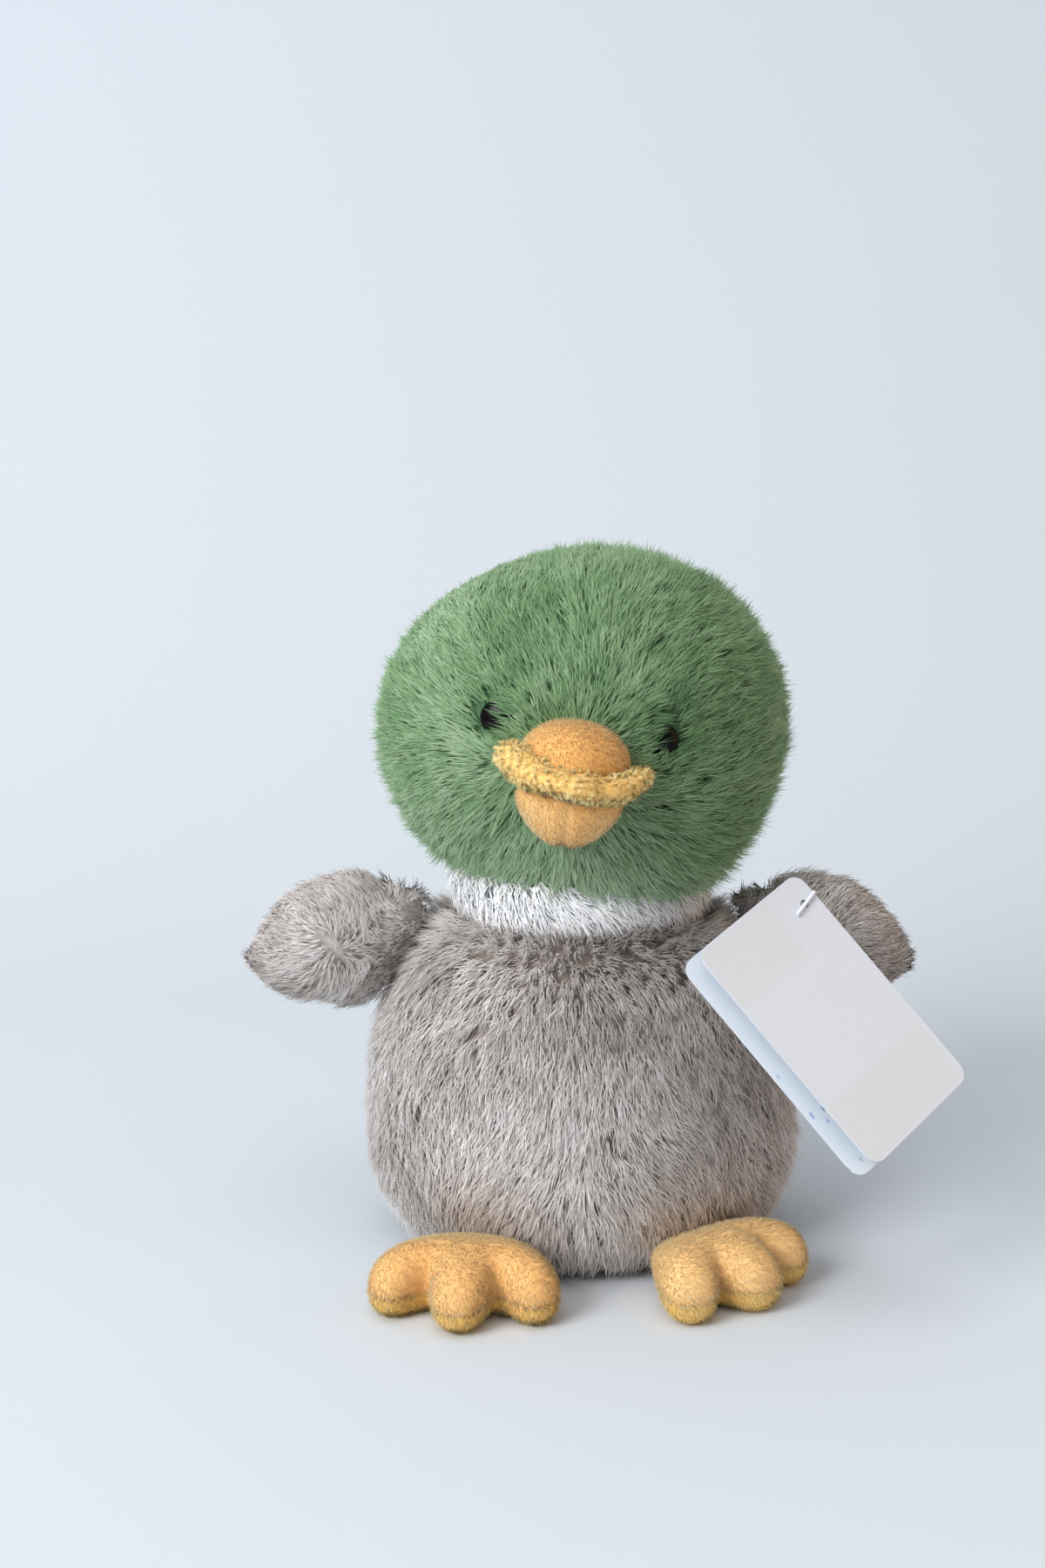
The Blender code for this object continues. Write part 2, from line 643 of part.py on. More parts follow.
def build_beak(parts, cutters, materials, face, head_guard):
    """A domed upper bill, its rolled brim and the lower bill."""
    rings = []
    for place, deep, high, back, up in BRIM_RING_SHARES:
        middle_y, half_y = back * BRIM_DEPTH / 2, deep * BRIM_DEPTH / 2
        middle_z, half_z = up * BRIM_HEIGHT / 2, high * BRIM_HEIGHT / 2
        rings.append((place * BRIM_WIDTH / 2, middle_y, middle_z, half_y, half_z))
    front = -HEAD_DEPTH / 2 - BRIM_REACH
    low = (-BRIM_WIDTH / 2, front, BRIM_RISE - BRIM_HEIGHT / 2)
    high = (BRIM_WIDTH / 2, front + BRIM_DEPTH, BRIM_RISE + BRIM_HEIGHT / 2)
    brim = soft_form("beak_brim", sideways(ring_cage(rings)), low, high, parts, face)
    brim_guard = as_cutter(offset_copy("brim_guard", brim, BEAK_GAP, SPACE_LEVELS, cutters))
    reach = BRIM_WIDTH + HEAD_DEPTH
    below = box_cutter("below_brim", (-reach, -reach, -reach), (reach, reach, BRIM_RISE), cutters, face)
    above = box_cutter("above_brim", (-reach, -reach, BRIM_RISE), (reach, reach, reach), cutters, face)

    front = -HEAD_DEPTH / 2 - DOME_REACH
    low = (-DOME_WIDTH / 2, front, DOME_TOP - DOME_HEIGHT)
    high = (DOME_WIDTH / 2, front + DOME_DEPTH, DOME_TOP)
    dome = soft_form("beak_upper", ring_cage(ball_rings(DOME_RINGS)), low, high, parts, face)
    rings = [
        (height * BILL_HEIGHT, 0, 0, wide * BILL_WIDTH / 2, deep * BILL_DEPTH / 2)
        for height, wide, deep in BILL_RING_SHARES
    ]
    front = -HEAD_DEPTH / 2 - BILL_REACH
    low = (-BILL_WIDTH / 2, front, BILL_TOP - BILL_HEIGHT)
    high = (BILL_WIDTH / 2, front + BILL_DEPTH, BILL_TOP)
    bill = soft_form("beak_lower", ring_cage(rings), low, high, parts, face)

    for piece, beyond in ((dome, below), (bill, above)):
        name = piece.name
        space = offset_copy(name + "_space", piece, -BEAK_COVER, SPACE_LEVELS, cutters)
        filling = offset_copy(name + "_filling", piece, -BEAK_COVER - FILLING_GAP, SPACE_LEVELS, parts)
        cut(piece, as_cutter(space))
        for cutter in (beyond, brim_guard, head_guard):
            cut(piece, cutter)
            cut(filling, cutter)
        finish(piece, materials["orange_plush"])
        finish(filling, materials["fibre_filling"])
    cut(brim, head_guard)
    finish(brim, materials["yellow_plush"])


def swung_guards(guard, axis, letter, limit, cutters):
    """The guard at rest and as the limb sees it at each end of its swing, so that the whole swing is free."""
    guards = [guard]
    for number, angle in enumerate((limit, -limit)):
        swing = axis.matrix_local @ Matrix.Rotation(angle, 4, letter) @ axis.matrix_local.inverted()
        name = "%s_guard_%d" % (axis.name, number)
        guards.append(as_cutter(add_object(name, guard.data, cutters, None, swing)))
    return guards


def build_wing(name, side, parts, cutters, materials, body_guard):
    """A stuffed paddle that is sewn to the body along one straight seam."""
    mirror = Matrix.Scale(side, 4, (1, 0, 0))
    seam = Matrix.Translation(wing_seam()) @ Matrix.Rotation(-WING_SEAM_LEAN, 4, "Y")
    frame = mirror @ seam @ mirror
    axis = add_empty("wing_%s_axis" % name, parts, None, frame)
    rings = []
    for reach, middle, high, thick in WING_RING_SHARES:
        half_height, half_depth = high * WING_HEIGHT / 2, thick * WING_THICKNESS / 2
        rings.append((reach * WING_REACH, 0, middle * WING_HEIGHT / 2, half_depth, half_height))
    cage = sideways(ring_cage(rings))
    if side < 0:
        bmesh.ops.transform(cage, matrix=mirror, verts=cage.verts)
        bmesh.ops.reverse_faces(cage, faces=cage.faces)
    ends = sorted((side * SEAT_GAP, side * WING_REACH))
    low = (ends[0], -WING_THICKNESS / 2, WING_DROP - WING_HEIGHT / 2)
    high = (ends[1], WING_THICKNESS / 2, WING_DROP + WING_HEIGHT / 2)
    cover = soft_form("wing_%s_cover" % name, cage, low, high, parts, axis)
    inner = []
    for kind, cloth, group in (("space", WING_COVER, cutters), ("filling", WING_COVER + FILLING_GAP, parts)):
        ends = sorted((side * (WING_ROOT + cloth), side * (WING_REACH - cloth)))
        inner_low = (ends[0], low[1] + cloth, low[2] + cloth)
        inner_high = (ends[1], high[1] - cloth, high[2] - cloth)
        inner.append(shrunk_copy("wing_%s_%s" % (name, kind), cover, inner_low, inner_high, group))
    space, filling = inner
    as_cutter(space)
    slit_ends = sorted((-side * OVERRUN, side * WING_SLIT_REACH))
    slit = box_cutter(
        "wing_%s_slit" % name,
        (slit_ends[0], -WING_SLIT_WIDTH / 2, -WING_SLIT_LENGTH / 2),
        (slit_ends[1], WING_SLIT_WIDTH / 2, WING_SLIT_LENGTH / 2),
        cutters,
        axis,
    )
    for cutter in (space, slit, *swung_guards(body_guard, axis, "Z", WING_SWING, cutters)):
        cut(cover, cutter)
    finish(cover, materials["taupe_fur"])
    finish(filling, materials["fibre_filling"])
    return axis, cover, filling


def build_tail(parts, cutters, materials, body_guard):
    """A short stuffed tail stub, sewn to the back."""
    rings = [
        (reach * TAIL_REACH, 0, 0, thick * TAIL_THICKNESS / 2, wide * TAIL_WIDTH / 2)
        for reach, thick, wide in TAIL_RING_SHARES
    ]
    root = Matrix.Translation((0, BODY_DEPTH / 2 - TAIL_TUCK, TAIL_HEIGHT))
    place = root @ Matrix.Rotation(TAIL_LIFT, 4, "X")
    place = place @ Matrix.Rotation(math.pi / 2, 4, "Z")
    low = (0, -TAIL_WIDTH / 2, -TAIL_THICKNESS / 2)
    high = (TAIL_REACH, TAIL_WIDTH / 2, TAIL_THICKNESS / 2)
    cage = sideways(ring_cage([(h, b, a, d, c) for h, a, b, c, d in rings]))
    cover = soft_form("tail_cover", cage, low, high, parts, None, place, SPACE_LEVELS)
    space = as_cutter(offset_copy("tail_space", cover, -TAIL_COVER, SPACE_LEVELS, cutters))
    filling = offset_copy("tail_filling", cover, -TAIL_COVER - FILLING_GAP, SPACE_LEVELS, parts)
    cut(cover, space)
    cut(cover, body_guard)
    cut(filling, body_guard)
    finish(cover, materials["taupe_fur"])
    finish(filling, materials["fibre_filling"])


def foot_cage(length):
    """A cage of a foot: a six-sided palm that thins to the heel, with three toes drawn out of its front."""
    work = bmesh.new()
    half = FOOT_THICKNESS / 2
    lower = []
    for across, along in PALM_SHARES:
        thin = HEEL_THICKNESS_SHARE if along == 0 else 1
        spot = (across * FOOT_WIDTH / 2, along * length, -half * thin)
        lower.append(work.verts.new(spot))
    palm = work.faces.new(lower)
    upper_face = bmesh.ops.extrude_face_region(work, geom=[palm], use_keep_orig=True)["geom"]
    upper = [item for item in upper_face if isinstance(item, bmesh.types.BMVert)]
    for point in upper:
        point.co.z = -point.co.z
    bmesh.ops.recalc_face_normals(work, faces=work.faces)
    work.faces.ensure_lookup_table()
    sides = [face for face in work.faces if len(face.verts) == 4]
    toes = [face for face in sides if face.normal.y < -TOE_FACING_SHARE]
    for face in toes:
        outward = face.normal.copy()
        made = bmesh.ops.extrude_face_region(work, geom=[face])["geom"]
        points = [item for item in made if isinstance(item, bmesh.types.BMVert)]
        bmesh.ops.delete(work, geom=[face], context="FACES_ONLY")
        bmesh.ops.translate(work, vec=outward * TOE_LENGTH_SHARE * length, verts=points)
        middle = sum((point.co for point in points), Vector()) / len(points)
        shrink = Matrix.Diagonal((TOE_END_SHARE, TOE_END_SHARE, TOE_END_SHARE, 1))
        bmesh.ops.transform(work, matrix=shrink, space=Matrix.Translation(-middle), verts=points)
        for point in [point for point in points if point.co.z > 0]:
            point.co.z *= TOE_TOP_SHARE
    bmesh.ops.recalc_face_normals(work, faces=work.faces)
    return work


def inward(point, distance):
    """The move that takes a corner of a cage in by the distance, held back where the corner is a saddle."""
    return point.normal * -distance * min(point.calc_shell_factor(), SADDLE_LIMIT)


def inner_foot(name, form, cloth, group):
    """A plainer copy of a foot with its cage drawn in by the cloth, and drawn away from the seam."""
    work = bmesh.new()
    work.from_mesh(form.data)
    work.normal_update()
    heel_y = max(point.co.y for point in work.verts)
    heel = [point for point in work.verts if heel_y - point.co.y < FOOT_ROOT]
    moves = [(point, inward(point, cloth)) for point in work.verts if point not in heel]
    for point, move in moves:
        point.co += move
    bmesh.ops.translate(work, vec=(0, -FOOT_ROOT - cloth, 0), verts=heel)
    made = add_object(name, mesh_from(work, name), group, form.parent, form.matrix_local.copy())
    subdivide(made, SPACE_LEVELS)
    return made


def build_foot(name, parts, cutters, materials, body_guard, floor):
    """A three-toed foot of an upper and a sole that meet at an edge seam, over its filling."""
    place = Matrix.Translation((FOOT_X[name], FOOT_TUCK[name] - BODY_DEPTH / 2, FOOT_SEAM_RISE))
    axis = add_empty("foot_%s_axis" % name, parts, None, place @ Matrix.Rotation(FOOT_TURN[name], 4, "Z"))
    length = FOOT_LENGTH[name]
    low = (-FOOT_WIDTH / 2, -length, -FOOT_SEAM_RISE - FLOOR_CUT)
    high = (FOOT_WIDTH / 2, 0, low[2] + FOOT_THICKNESS)
    upper = soft_form("foot_%s_upper" % name, foot_cage(length), low, high, parts, axis)
    sole = add_object("foot_%s_sole" % name, upper.data.copy(), parts, axis)
    subdivide(sole, FORM_LEVELS)
    space = as_cutter(inner_foot("foot_%s_space" % name, upper, FOOT_COVER, cutters))
    filling = inner_foot("foot_%s_filling" % name, upper, FOOT_COVER + FOOT_FILLING_GAP, parts)
    reach = length + FOOT_WIDTH
    edge = FOOT_PANEL_RISE - FOOT_SEAM_RISE
    below = box_cutter(
        "foot_%s_below" % name, (-reach, -reach, -reach), (reach, reach, edge + SEAT_GAP / 2), cutters, axis
    )
    above = box_cutter(
        "foot_%s_above" % name, (-reach, -reach, edge - SEAT_GAP / 2), (reach, reach, reach), cutters, axis
    )
    guards = swung_guards(body_guard, axis, "X", FOOT_FLEX, cutters)
    for cutter in (space, below, *guards):
        cut(upper, cutter)
    for cutter in (space, above, floor, *guards):
        cut(sole, cutter)
    for cutter in guards:
        cut(filling, cutter)
    finish(upper, materials["orange_plush"])
    finish(sole, materials["yellow_plush"])
    finish(filling, materials["fibre_filling"])


def tag_frame():
    """The tag's frame at its hole: Z out of the front leaf, X along the long side."""
    facing = TAG_FACING.normalized()
    across = facing.cross(TAG_RUN).normalized()
    run = across.cross(facing)
    turn = Matrix((run, across, facing)).transposed().to_4x4()
    hole = wing_seam() + Vector((TAG_HOLE_OUT, -TAG_HOLE_FORWARD, TAG_HOLE_UP))
    return Matrix.Translation(hole) @ turn


def leaf_outline(width):
    """A leaf's outline about the hole, with its four corners rounded."""
    left = -TAG_HOLE_FROM_END
    right = TAG_LENGTH - TAG_HOLE_FROM_END
    top = TAG_HOLE_FROM_FOLD
    bottom = TAG_HOLE_FROM_FOLD - width
    corners = (
        (right - TAG_CORNER, top - TAG_CORNER, 0),
        (left + TAG_CORNER, top - TAG_CORNER, 1),
        (left + TAG_CORNER, bottom + TAG_CORNER, 2),
        (right - TAG_CORNER, bottom + TAG_CORNER, 3),
    )
    outline = []
    for x, y, quarter in corners:
        for step in range(TAG_CORNER_STEPS + 1):
            angle = math.pi / 2 * (quarter + step / TAG_CORNER_STEPS)
            outline.append((x + TAG_CORNER * math.cos(angle), y + TAG_CORNER * math.sin(angle)))
    return outline


def add_leaf(name, width, bottom, opening, group, parent):
    """One leaf of the card as a plate, hinged open about the fold."""
    work = bmesh.new()
    points = [work.verts.new((x, y, 0)) for x, y in leaf_outline(width)]
    plate = work.faces.new(points)
    made = bmesh.ops.extrude_face_region(work, geom=[plate], use_keep_orig=True)["geom"]
    raised = [item for item in made if isinstance(item, bmesh.types.BMVert)]
    bmesh.ops.translate(work, vec=(0, 0, TAG_CARD), verts=raised)
    bmesh.ops.recalc_face_normals(work, faces=work.faces)
    fold = Matrix.Translation((0, TAG_HOLE_FROM_FOLD, bottom)) @ Matrix.Rotation(opening, 4, "X")
    place = fold @ Matrix.Translation((0, -TAG_HOLE_FROM_FOLD, 0))
    return add_object(name, mesh_from(work, name), group, parent, place)


def build_tag(parts, cutters, materials, wing_axis, wing_cover, wing_filling):
    """A folded card that hangs by its hole on its fastener."""
    bpy.context.view_layer.update()
    frame = tag_frame()
    axis = add_empty("tag_axis", parts, wing_axis, wing_axis.matrix_world.inverted() @ frame)
    front = add_leaf("tag_front_leaf", TAG_WIDTH, TAG_LEAF_GAP / 2, 0, parts, axis)
    back_bottom = -TAG_LEAF_GAP / 2 - TAG_CARD
    back = add_leaf("tag_back_leaf", TAG_WIDTH + TAG_BACK_MARGIN, back_bottom, TAG_OPENING, parts, axis)
    ends = (-TAG_HOLE_CUT / 2, TAG_HOLE_CUT / 2)
    hole = rod("tag_hole", TAG_HOLE_RADIUS, *ends, TURNED_STEPS, cutters, axis)
    cut(front, as_cutter(hole))
    cut(back, as_cutter(hole))
    finish(front, materials["tag_card"])
    finish(back, materials["tag_card"])
    build_fastener(parts, cutters, materials, frame, wing_axis, wing_cover, wing_filling)


def curve_mesh(name, points, radius, group, parent):
    """A round thread through the points, made a closed mesh."""
    curve = bpy.data.curves.new(name, "CURVE")
    curve.dimensions = "3D"
    curve.bevel_depth = radius
    curve.bevel_resolution = FASTENER_RINGS
    curve.use_fill_caps = True
    spline = curve.splines.new("POLY")
    spline.points.add(len(points) - 1)
    for place, point in zip(spline.points, points):
        place.co = (*point, 1)
    drawn = add_object(name + "_path", curve, group)
    mesh = evaluated_mesh(drawn)
    bpy.data.objects.remove(drawn, do_unlink=True)
    work = bmesh.new()
    work.from_mesh(mesh)
    bmesh.ops.remove_doubles(work, verts=work.verts, dist=WELD)
    bmesh.ops.recalc_face_normals(work, faces=work.faces)
    bpy.data.meshes.remove(mesh)
    return add_object(name, mesh_from(work, name), group, parent)


def build_fastener(parts, cutters, materials, tag_place, wing_axis, wing_cover, wing_filling):
    """A plastic fastener: a bar before the card, a thread through its hole, and a bar inside the wing."""
    to_wing = wing_axis.matrix_world.inverted() @ tag_place
    front_z = TAG_LEAF_GAP / 2 + TAG_CARD + SEAT_GAP + FASTENER_BAR_RADIUS
    start = to_wing @ Vector((0, 0, front_z))
    start_pull = to_wing @ Vector((0, 0, front_z - FASTENER_BEND))
    anchor = Vector((ANCHOR_REACH, -ANCHOR_FORWARD, ANCHOR_RISE))
    anchor_pull = anchor + Vector((0, -FASTENER_BEND, 0))
    points = []
    for number in range(FASTENER_POINTS):
        share = number / (FASTENER_POINTS - 1)
        rest = 1 - share
        point = start * rest**3 + start_pull * 3 * rest**2 * share + anchor_pull * 3 * rest * share**2
        points.append(point + anchor * share**3)
    fastener = curve_mesh("tag_fastener", points, FASTENER_THREAD_RADIUS, parts, wing_axis)
    lay_across = Matrix.Rotation(math.pi / 2, 4, "Y")
    front_place = to_wing @ Matrix.Translation((0, 0, front_z)) @ Matrix.Rotation(FASTENER_BAR_TURN, 4, "Z")
    inner_place = Matrix.Translation(anchor) @ Matrix.Rotation(math.pi / 2, 4, "Y")
    for number, place in enumerate((front_place @ lay_across, inner_place)):
        bar = rod(
            "fastener_bar_%d" % number,
            FASTENER_BAR_RADIUS,
            -FASTENER_BAR_LENGTH / 2,
            FASTENER_BAR_LENGTH / 2,
            FASTENER_SIDES,
            cutters,
            wing_axis,
            place,
        )
        joined = fastener.modifiers.new("Bar", "BOOLEAN")
        joined.operation = "UNION"
        joined.solver = "EXACT"
        joined.object = as_cutter(bar)

    half_bar = FASTENER_BAR_LENGTH / 2 + SEAT_GAP
    half_room = FASTENER_BAR_RADIUS + SEAT_GAP
    room = box_cutter(
        "bar_room",
        (anchor.x - half_bar, anchor.y - half_room, anchor.z - half_room),
        (anchor.x + half_bar, anchor.y + half_room, anchor.z + half_room),
        cutters,
        wing_axis,
    )
    needle_place = Matrix.Translation(anchor) @ Matrix.Rotation(math.pi / 2, 4, "X")
    needle = rod(
        "needle_hole", NEEDLE_RADIUS, 0, WING_THICKNESS / 2, TURNED_STEPS, cutters, wing_axis, needle_place
    )
    for cutter in (room, as_cutter(needle)):
        cut(wing_cover, cutter)
        cut(wing_filling, cutter)
    finish(fastener, materials["fastener_plastic"])


def main():
    clear_scene()
    parts = new_collection("plush_duck")
    cutters = new_collection("cutters")
    materials = make_materials()
    body_guard, floor = build_body(parts, cutters, materials)
    turn, face, head_cover, head_filling, head_guard, roll_guard = build_head(parts, cutters, materials)
    build_neck_band(parts, materials, turn, roll_guard)
    build_eyes(parts, cutters, materials, face, head_cover, head_filling)
    build_beak(parts, cutters, materials, face, head_guard)
    left_axis, left_cover, left_filling = build_wing("left", 1, parts, cutters, materials, body_guard)
    build_wing("right", -1, parts, cutters, materials, body_guard)
    build_tail(parts, cutters, materials, body_guard)
    for name in ("left", "right"):
        build_foot(name, parts, cutters, materials, body_guard, floor)
    build_tag(parts, cutters, materials, left_axis, left_cover, left_filling)


main()
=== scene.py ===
"""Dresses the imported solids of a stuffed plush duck: pile, short plush, eye beads, card tag and studio.

Frame: metres, +Z up, the duck faces -Y and its own left side is +X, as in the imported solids.
"""

import math

import bmesh
import bpy
import numpy as np
from bpy.props import FloatProperty, FloatVectorProperty, IntProperty
from mathutils import Matrix, Vector


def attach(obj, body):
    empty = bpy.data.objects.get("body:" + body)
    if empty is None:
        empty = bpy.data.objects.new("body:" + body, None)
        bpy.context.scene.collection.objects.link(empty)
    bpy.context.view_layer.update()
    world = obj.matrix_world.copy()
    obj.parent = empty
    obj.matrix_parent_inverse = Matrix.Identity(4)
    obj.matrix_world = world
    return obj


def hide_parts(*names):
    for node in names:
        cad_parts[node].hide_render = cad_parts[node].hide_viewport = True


bl_info = {
    "name": "Plush duck",
    "version": (1, 0, 0),
    "blender": (4, 5, 0),
    "location": "View3D > Sidebar > Plush duck",
    "description": "Builds the pile, plush, eyes, card tag and studio of a stuffed duck on its packed solids",
    "category": "Add Mesh",
}

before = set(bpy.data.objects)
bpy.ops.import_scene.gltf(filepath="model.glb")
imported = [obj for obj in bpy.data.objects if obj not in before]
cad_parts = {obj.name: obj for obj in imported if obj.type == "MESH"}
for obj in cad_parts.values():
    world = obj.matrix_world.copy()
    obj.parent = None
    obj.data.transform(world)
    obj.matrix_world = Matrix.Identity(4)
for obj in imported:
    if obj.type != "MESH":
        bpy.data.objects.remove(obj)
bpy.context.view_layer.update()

MM = 0.001
# How far a skin may sink before the filling under it shows
DEEPEST = {"body": 5.2 * MM, "head": 6.2 * MM, "wing": 3.8 * MM}

# The soft forms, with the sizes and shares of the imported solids
RING_SIDES = 6
FIT_LEVELS = 2
SKIN_LEVELS = 3
FLOOR_CUT = 0.5 * MM

BODY_WIDTH = 154.0 * MM
BODY_DEPTH = 136.0 * MM
BODY_HEIGHT = 132.0 * MM
NECK_HEIGHT = 117.0 * MM
BODY_RINGS = (  # height, half width, half depth
    (0.000, 0.38, 0.38),
    (0.000, 0.74, 0.74),
    (0.085, 0.94, 0.94),
    (0.330, 1.03, 1.02),
    (0.630, 0.99, 1.00),
    (0.880, 0.70, 0.72),
    (0.990, 0.30, 0.30),
)

HEAD_SIZE = Vector((147.0, 134.0, 129.0)) * MM
HEAD_CENTRE = Vector((0, 0, 184.5)) * MM
HEAD_RINGS = 5
FACE_ROLL = math.radians(7.7)
FACE_YAW = math.radians(3.0)
EYE_SPACING = 58.0 * MM
EYE_RISE = 7.0 * MM
EYE_SEAT_DEPTH = 4.0 * MM
HEAD_HOLLOWS = (  # way out of the head's middle, spread, depth in millimetres
    ((-0.60, -0.20, 0.78), 0.50, 3.4),
    ((0.10, -0.10, 1.00), 0.35, 1.4),
    ((-0.98, -0.1, -0.1), 0.35, 1.0),
    ((0.72, -0.25, 0.66), 0.35, -1.2),
    ((0.52, -0.5, -0.7), 0.45, -5.0),
)

BAND_RADIUS = 47.0 * MM
BAND_WALL = 11.0 * MM
BAND_HEIGHT = 24.0 * MM

DOME_SIZE = Vector((37.0, 46.0, 27.0)) * MM
DOME_REACH = 22.0 * MM
DOME_TOP = 11.5 * MM
DOME_RINGS = 4
BRIM_SIZE = Vector((52.0, 37.0, 12.5)) * MM
BRIM_REACH = 29.0 * MM
BRIM_RISE = -5.5 * MM
BRIM_RINGS = (  # place along the width, then half depth, half height, way back, way up
    (-1.00, 0.22, 0.50, 0.50, 0.40),
    (-0.72, 0.72, 1.05, 0.24, 0.16),
    (0.00, 1.00, 0.86, 0.00, -0.24),
    (0.72, 0.72, 1.05, 0.24, 0.16),
    (1.00, 0.22, 0.50, 0.50, 0.40),
)
BILL_SIZE = Vector((37.0, 34.0, 24.0)) * MM
BILL_REACH = 19.0 * MM
BILL_TOP = -7.0 * MM
BILL_RINGS = (  # height, half width, half depth
    (0.00, 0.40, 0.50),
    (0.42, 0.96, 0.96),
    (1.00, 0.90, 0.88),
)

WING_REACH = 53.0 * MM
WING_HEIGHT = 58.0 * MM
WING_THICKNESS = 29.0 * MM
WING_DROP = -9.5 * MM
WING_SEAM = Vector((60.0, -6.0, 105.0)) * MM
WING_LEAN = math.radians(28.0)
WING_RINGS = (  # reach, middle of the height, half height, half thickness
    (0.000, 0.20, 0.66, 0.06),
    (0.180, 0.12, 0.88, 0.84),
    (0.520, -0.03, 1.02, 1.10),
    (0.840, -0.18, 0.80, 0.74),
    (1.000, -0.36, 0.40, 0.30),
)
WHORL = Vector((26.0, -14.0, -11.0)) * MM  # where the pile parts, in the frame of the wing's seam

TAIL_REACH = 30.0 * MM
TAIL_WIDTH = 40.0 * MM
TAIL_THICKNESS = 24.0 * MM
TAIL_PLACE = Vector((0, 58.0, 44.0)) * MM
TAIL_LIFT = math.radians(28.0)
TAIL_RINGS = ((0.00, 0.90, 0.88), (0.56, 1.00, 1.00), (1.00, 0.42, 0.42))  # reach, half thickness, half width

FOOT_WIDTH = 63.0 * MM
FOOT_THICKNESS = 23.0 * MM
FOOT_SEAM_RISE = 9.0 * MM
FOOT_PANEL_RISE = 8.0 * MM
FOOT_PLACES = {  # x, y, turn, length
    "left": (31.0 * MM, -50.5 * MM, math.radians(43.0), 45.0 * MM),
    "right": (-35.0 * MM, -50.0 * MM, math.radians(-8.0), 54.0 * MM),
}
PALM_SHARES = ((-0.42, 0.00), (0.42, 0.00), (0.76, -0.32), (0.31, -0.53), (-0.31, -0.53), (-0.76, -0.32))
HEEL_SHARE = 0.16
TOE_LENGTH_SHARE = 0.41
TOE_END_SHARE = 1.18
TOE_TOP_SHARE = 0.55
TOE_FACING_SHARE = 0.3

TAG_HOLE = Vector((73.5, -48.0, 130.0)) * MM
TAG_FACING = Vector((0.38, -0.72, 0.585))
TAG_RUN = Vector((0.64, -0.26, -0.725))
FILM_COLOUR = "d3d4d4"
FILM_SHARE = 0.7
FILM_EDGE = 0.4 * MM
FILM_PATCHES = (  # low and high along the tag, low and high across it, in millimetres from its hole
    (-9.2, 14.0, -47.0, -12.0),
    (54.0, 77.2, -47.0, 4.0),
)
BACK_LEAF_COLOUR = "dbe3ec"

# The studio
SWEEP_HALF_WIDTH = 3.0
SWEEP_FRONT = -2.5
SWEEP_BACK = 1.0
SWEEP_HEIGHT = 3.0
SWEEP_BEND = 0.7
LAMPS = (  # name, place, size, power in watts, colour
    ("key_window", (-1.6, -1.65, 1.4), 1.3, 60.0, "fdfdff"),
    ("top_fill", (-0.3, -0.5, 2.2), 1.8, 15.0, "fdfdff"),
    ("warm_bounce", (1.5, -0.3, 0.4), 1.0, 3.6, "ffbe70"),
)
LAMP_AIM_SHARE = 0.7  # of the height of the head's middle
ROOM_COLOUR = "eef3f8"
ROOM_STRENGTH = 0.44
CAMERA_PLACE = (-0.0206, -0.7590, 0.2965)
CAMERA_TILT = math.radians(80)
CAMERA_LENS = 50  # millimetres, on a sensor 36 wide
CAMERA_SENSOR = 36


def linear(code):
    """The linear colour of an sRGB hex code."""
    values = [int(code[place:place + 2], 16) / 255 for place in (0, 2, 4)]
    return [v / 12.92 if v <= 0.04045 else ((v + 0.055) / 1.055) ** 2.4 for v in values] + [1.0]


def length_property(name, description, millimetres):
    """A length in metres, with its default given in millimetres."""
    return FloatProperty(name=name, description=description, default=millimetres * MM, min=0, unit="LENGTH")


def colour_property(name, description, code):
    """A linear colour, with its default given as an sRGB hex code."""
    return FloatVectorProperty(
        name=name, description=description, default=linear(code), size=4, min=0, max=1, subtype="COLOR"
    )


class DuckSizes(bpy.types.PropertyGroup):
    """Lengths of the pile and of the small hard pieces."""

    body_pile: length_property("Body pile", "Fibre length on the body and tail", 10.0)
    head_pile: length_property("Head pile", "Fibre length on the head", 9.0)
    wing_pile: length_property("Wing pile", "Fibre length on the wings", 9.0)
    neck_pile: length_property("Neck pile", "Fibre length on the neck band", 9.0)
    plush_pile: length_property("Short plush", "Fibre length on the beak and feet", 1.3)
    strand_width: length_property("Strand width", "Width of one drawn tuft of pile fibres", 0.34)
    plush_width: length_property("Plush strand width", "Width of one drawn tuft of short plush", 0.28)
    eye_radius: length_property("Eye radius", "Radius of an eye bead", 5.5)
    eye_height: length_property("Eye height", "Height of an eye bead", 1.6)
    strands: FloatProperty(
        name="Strands", description="Drawn tufts of pile on each square millimetre", default=2.1, min=0.1
    )
    plush_strands: FloatProperty(
        name="Plush strands",
        description="Drawn tufts of short plush on each square millimetre",
        default=3.6,
        min=0.1,
    )
    seed: IntProperty(name="Seed", description="Start of every random choice", default=7)


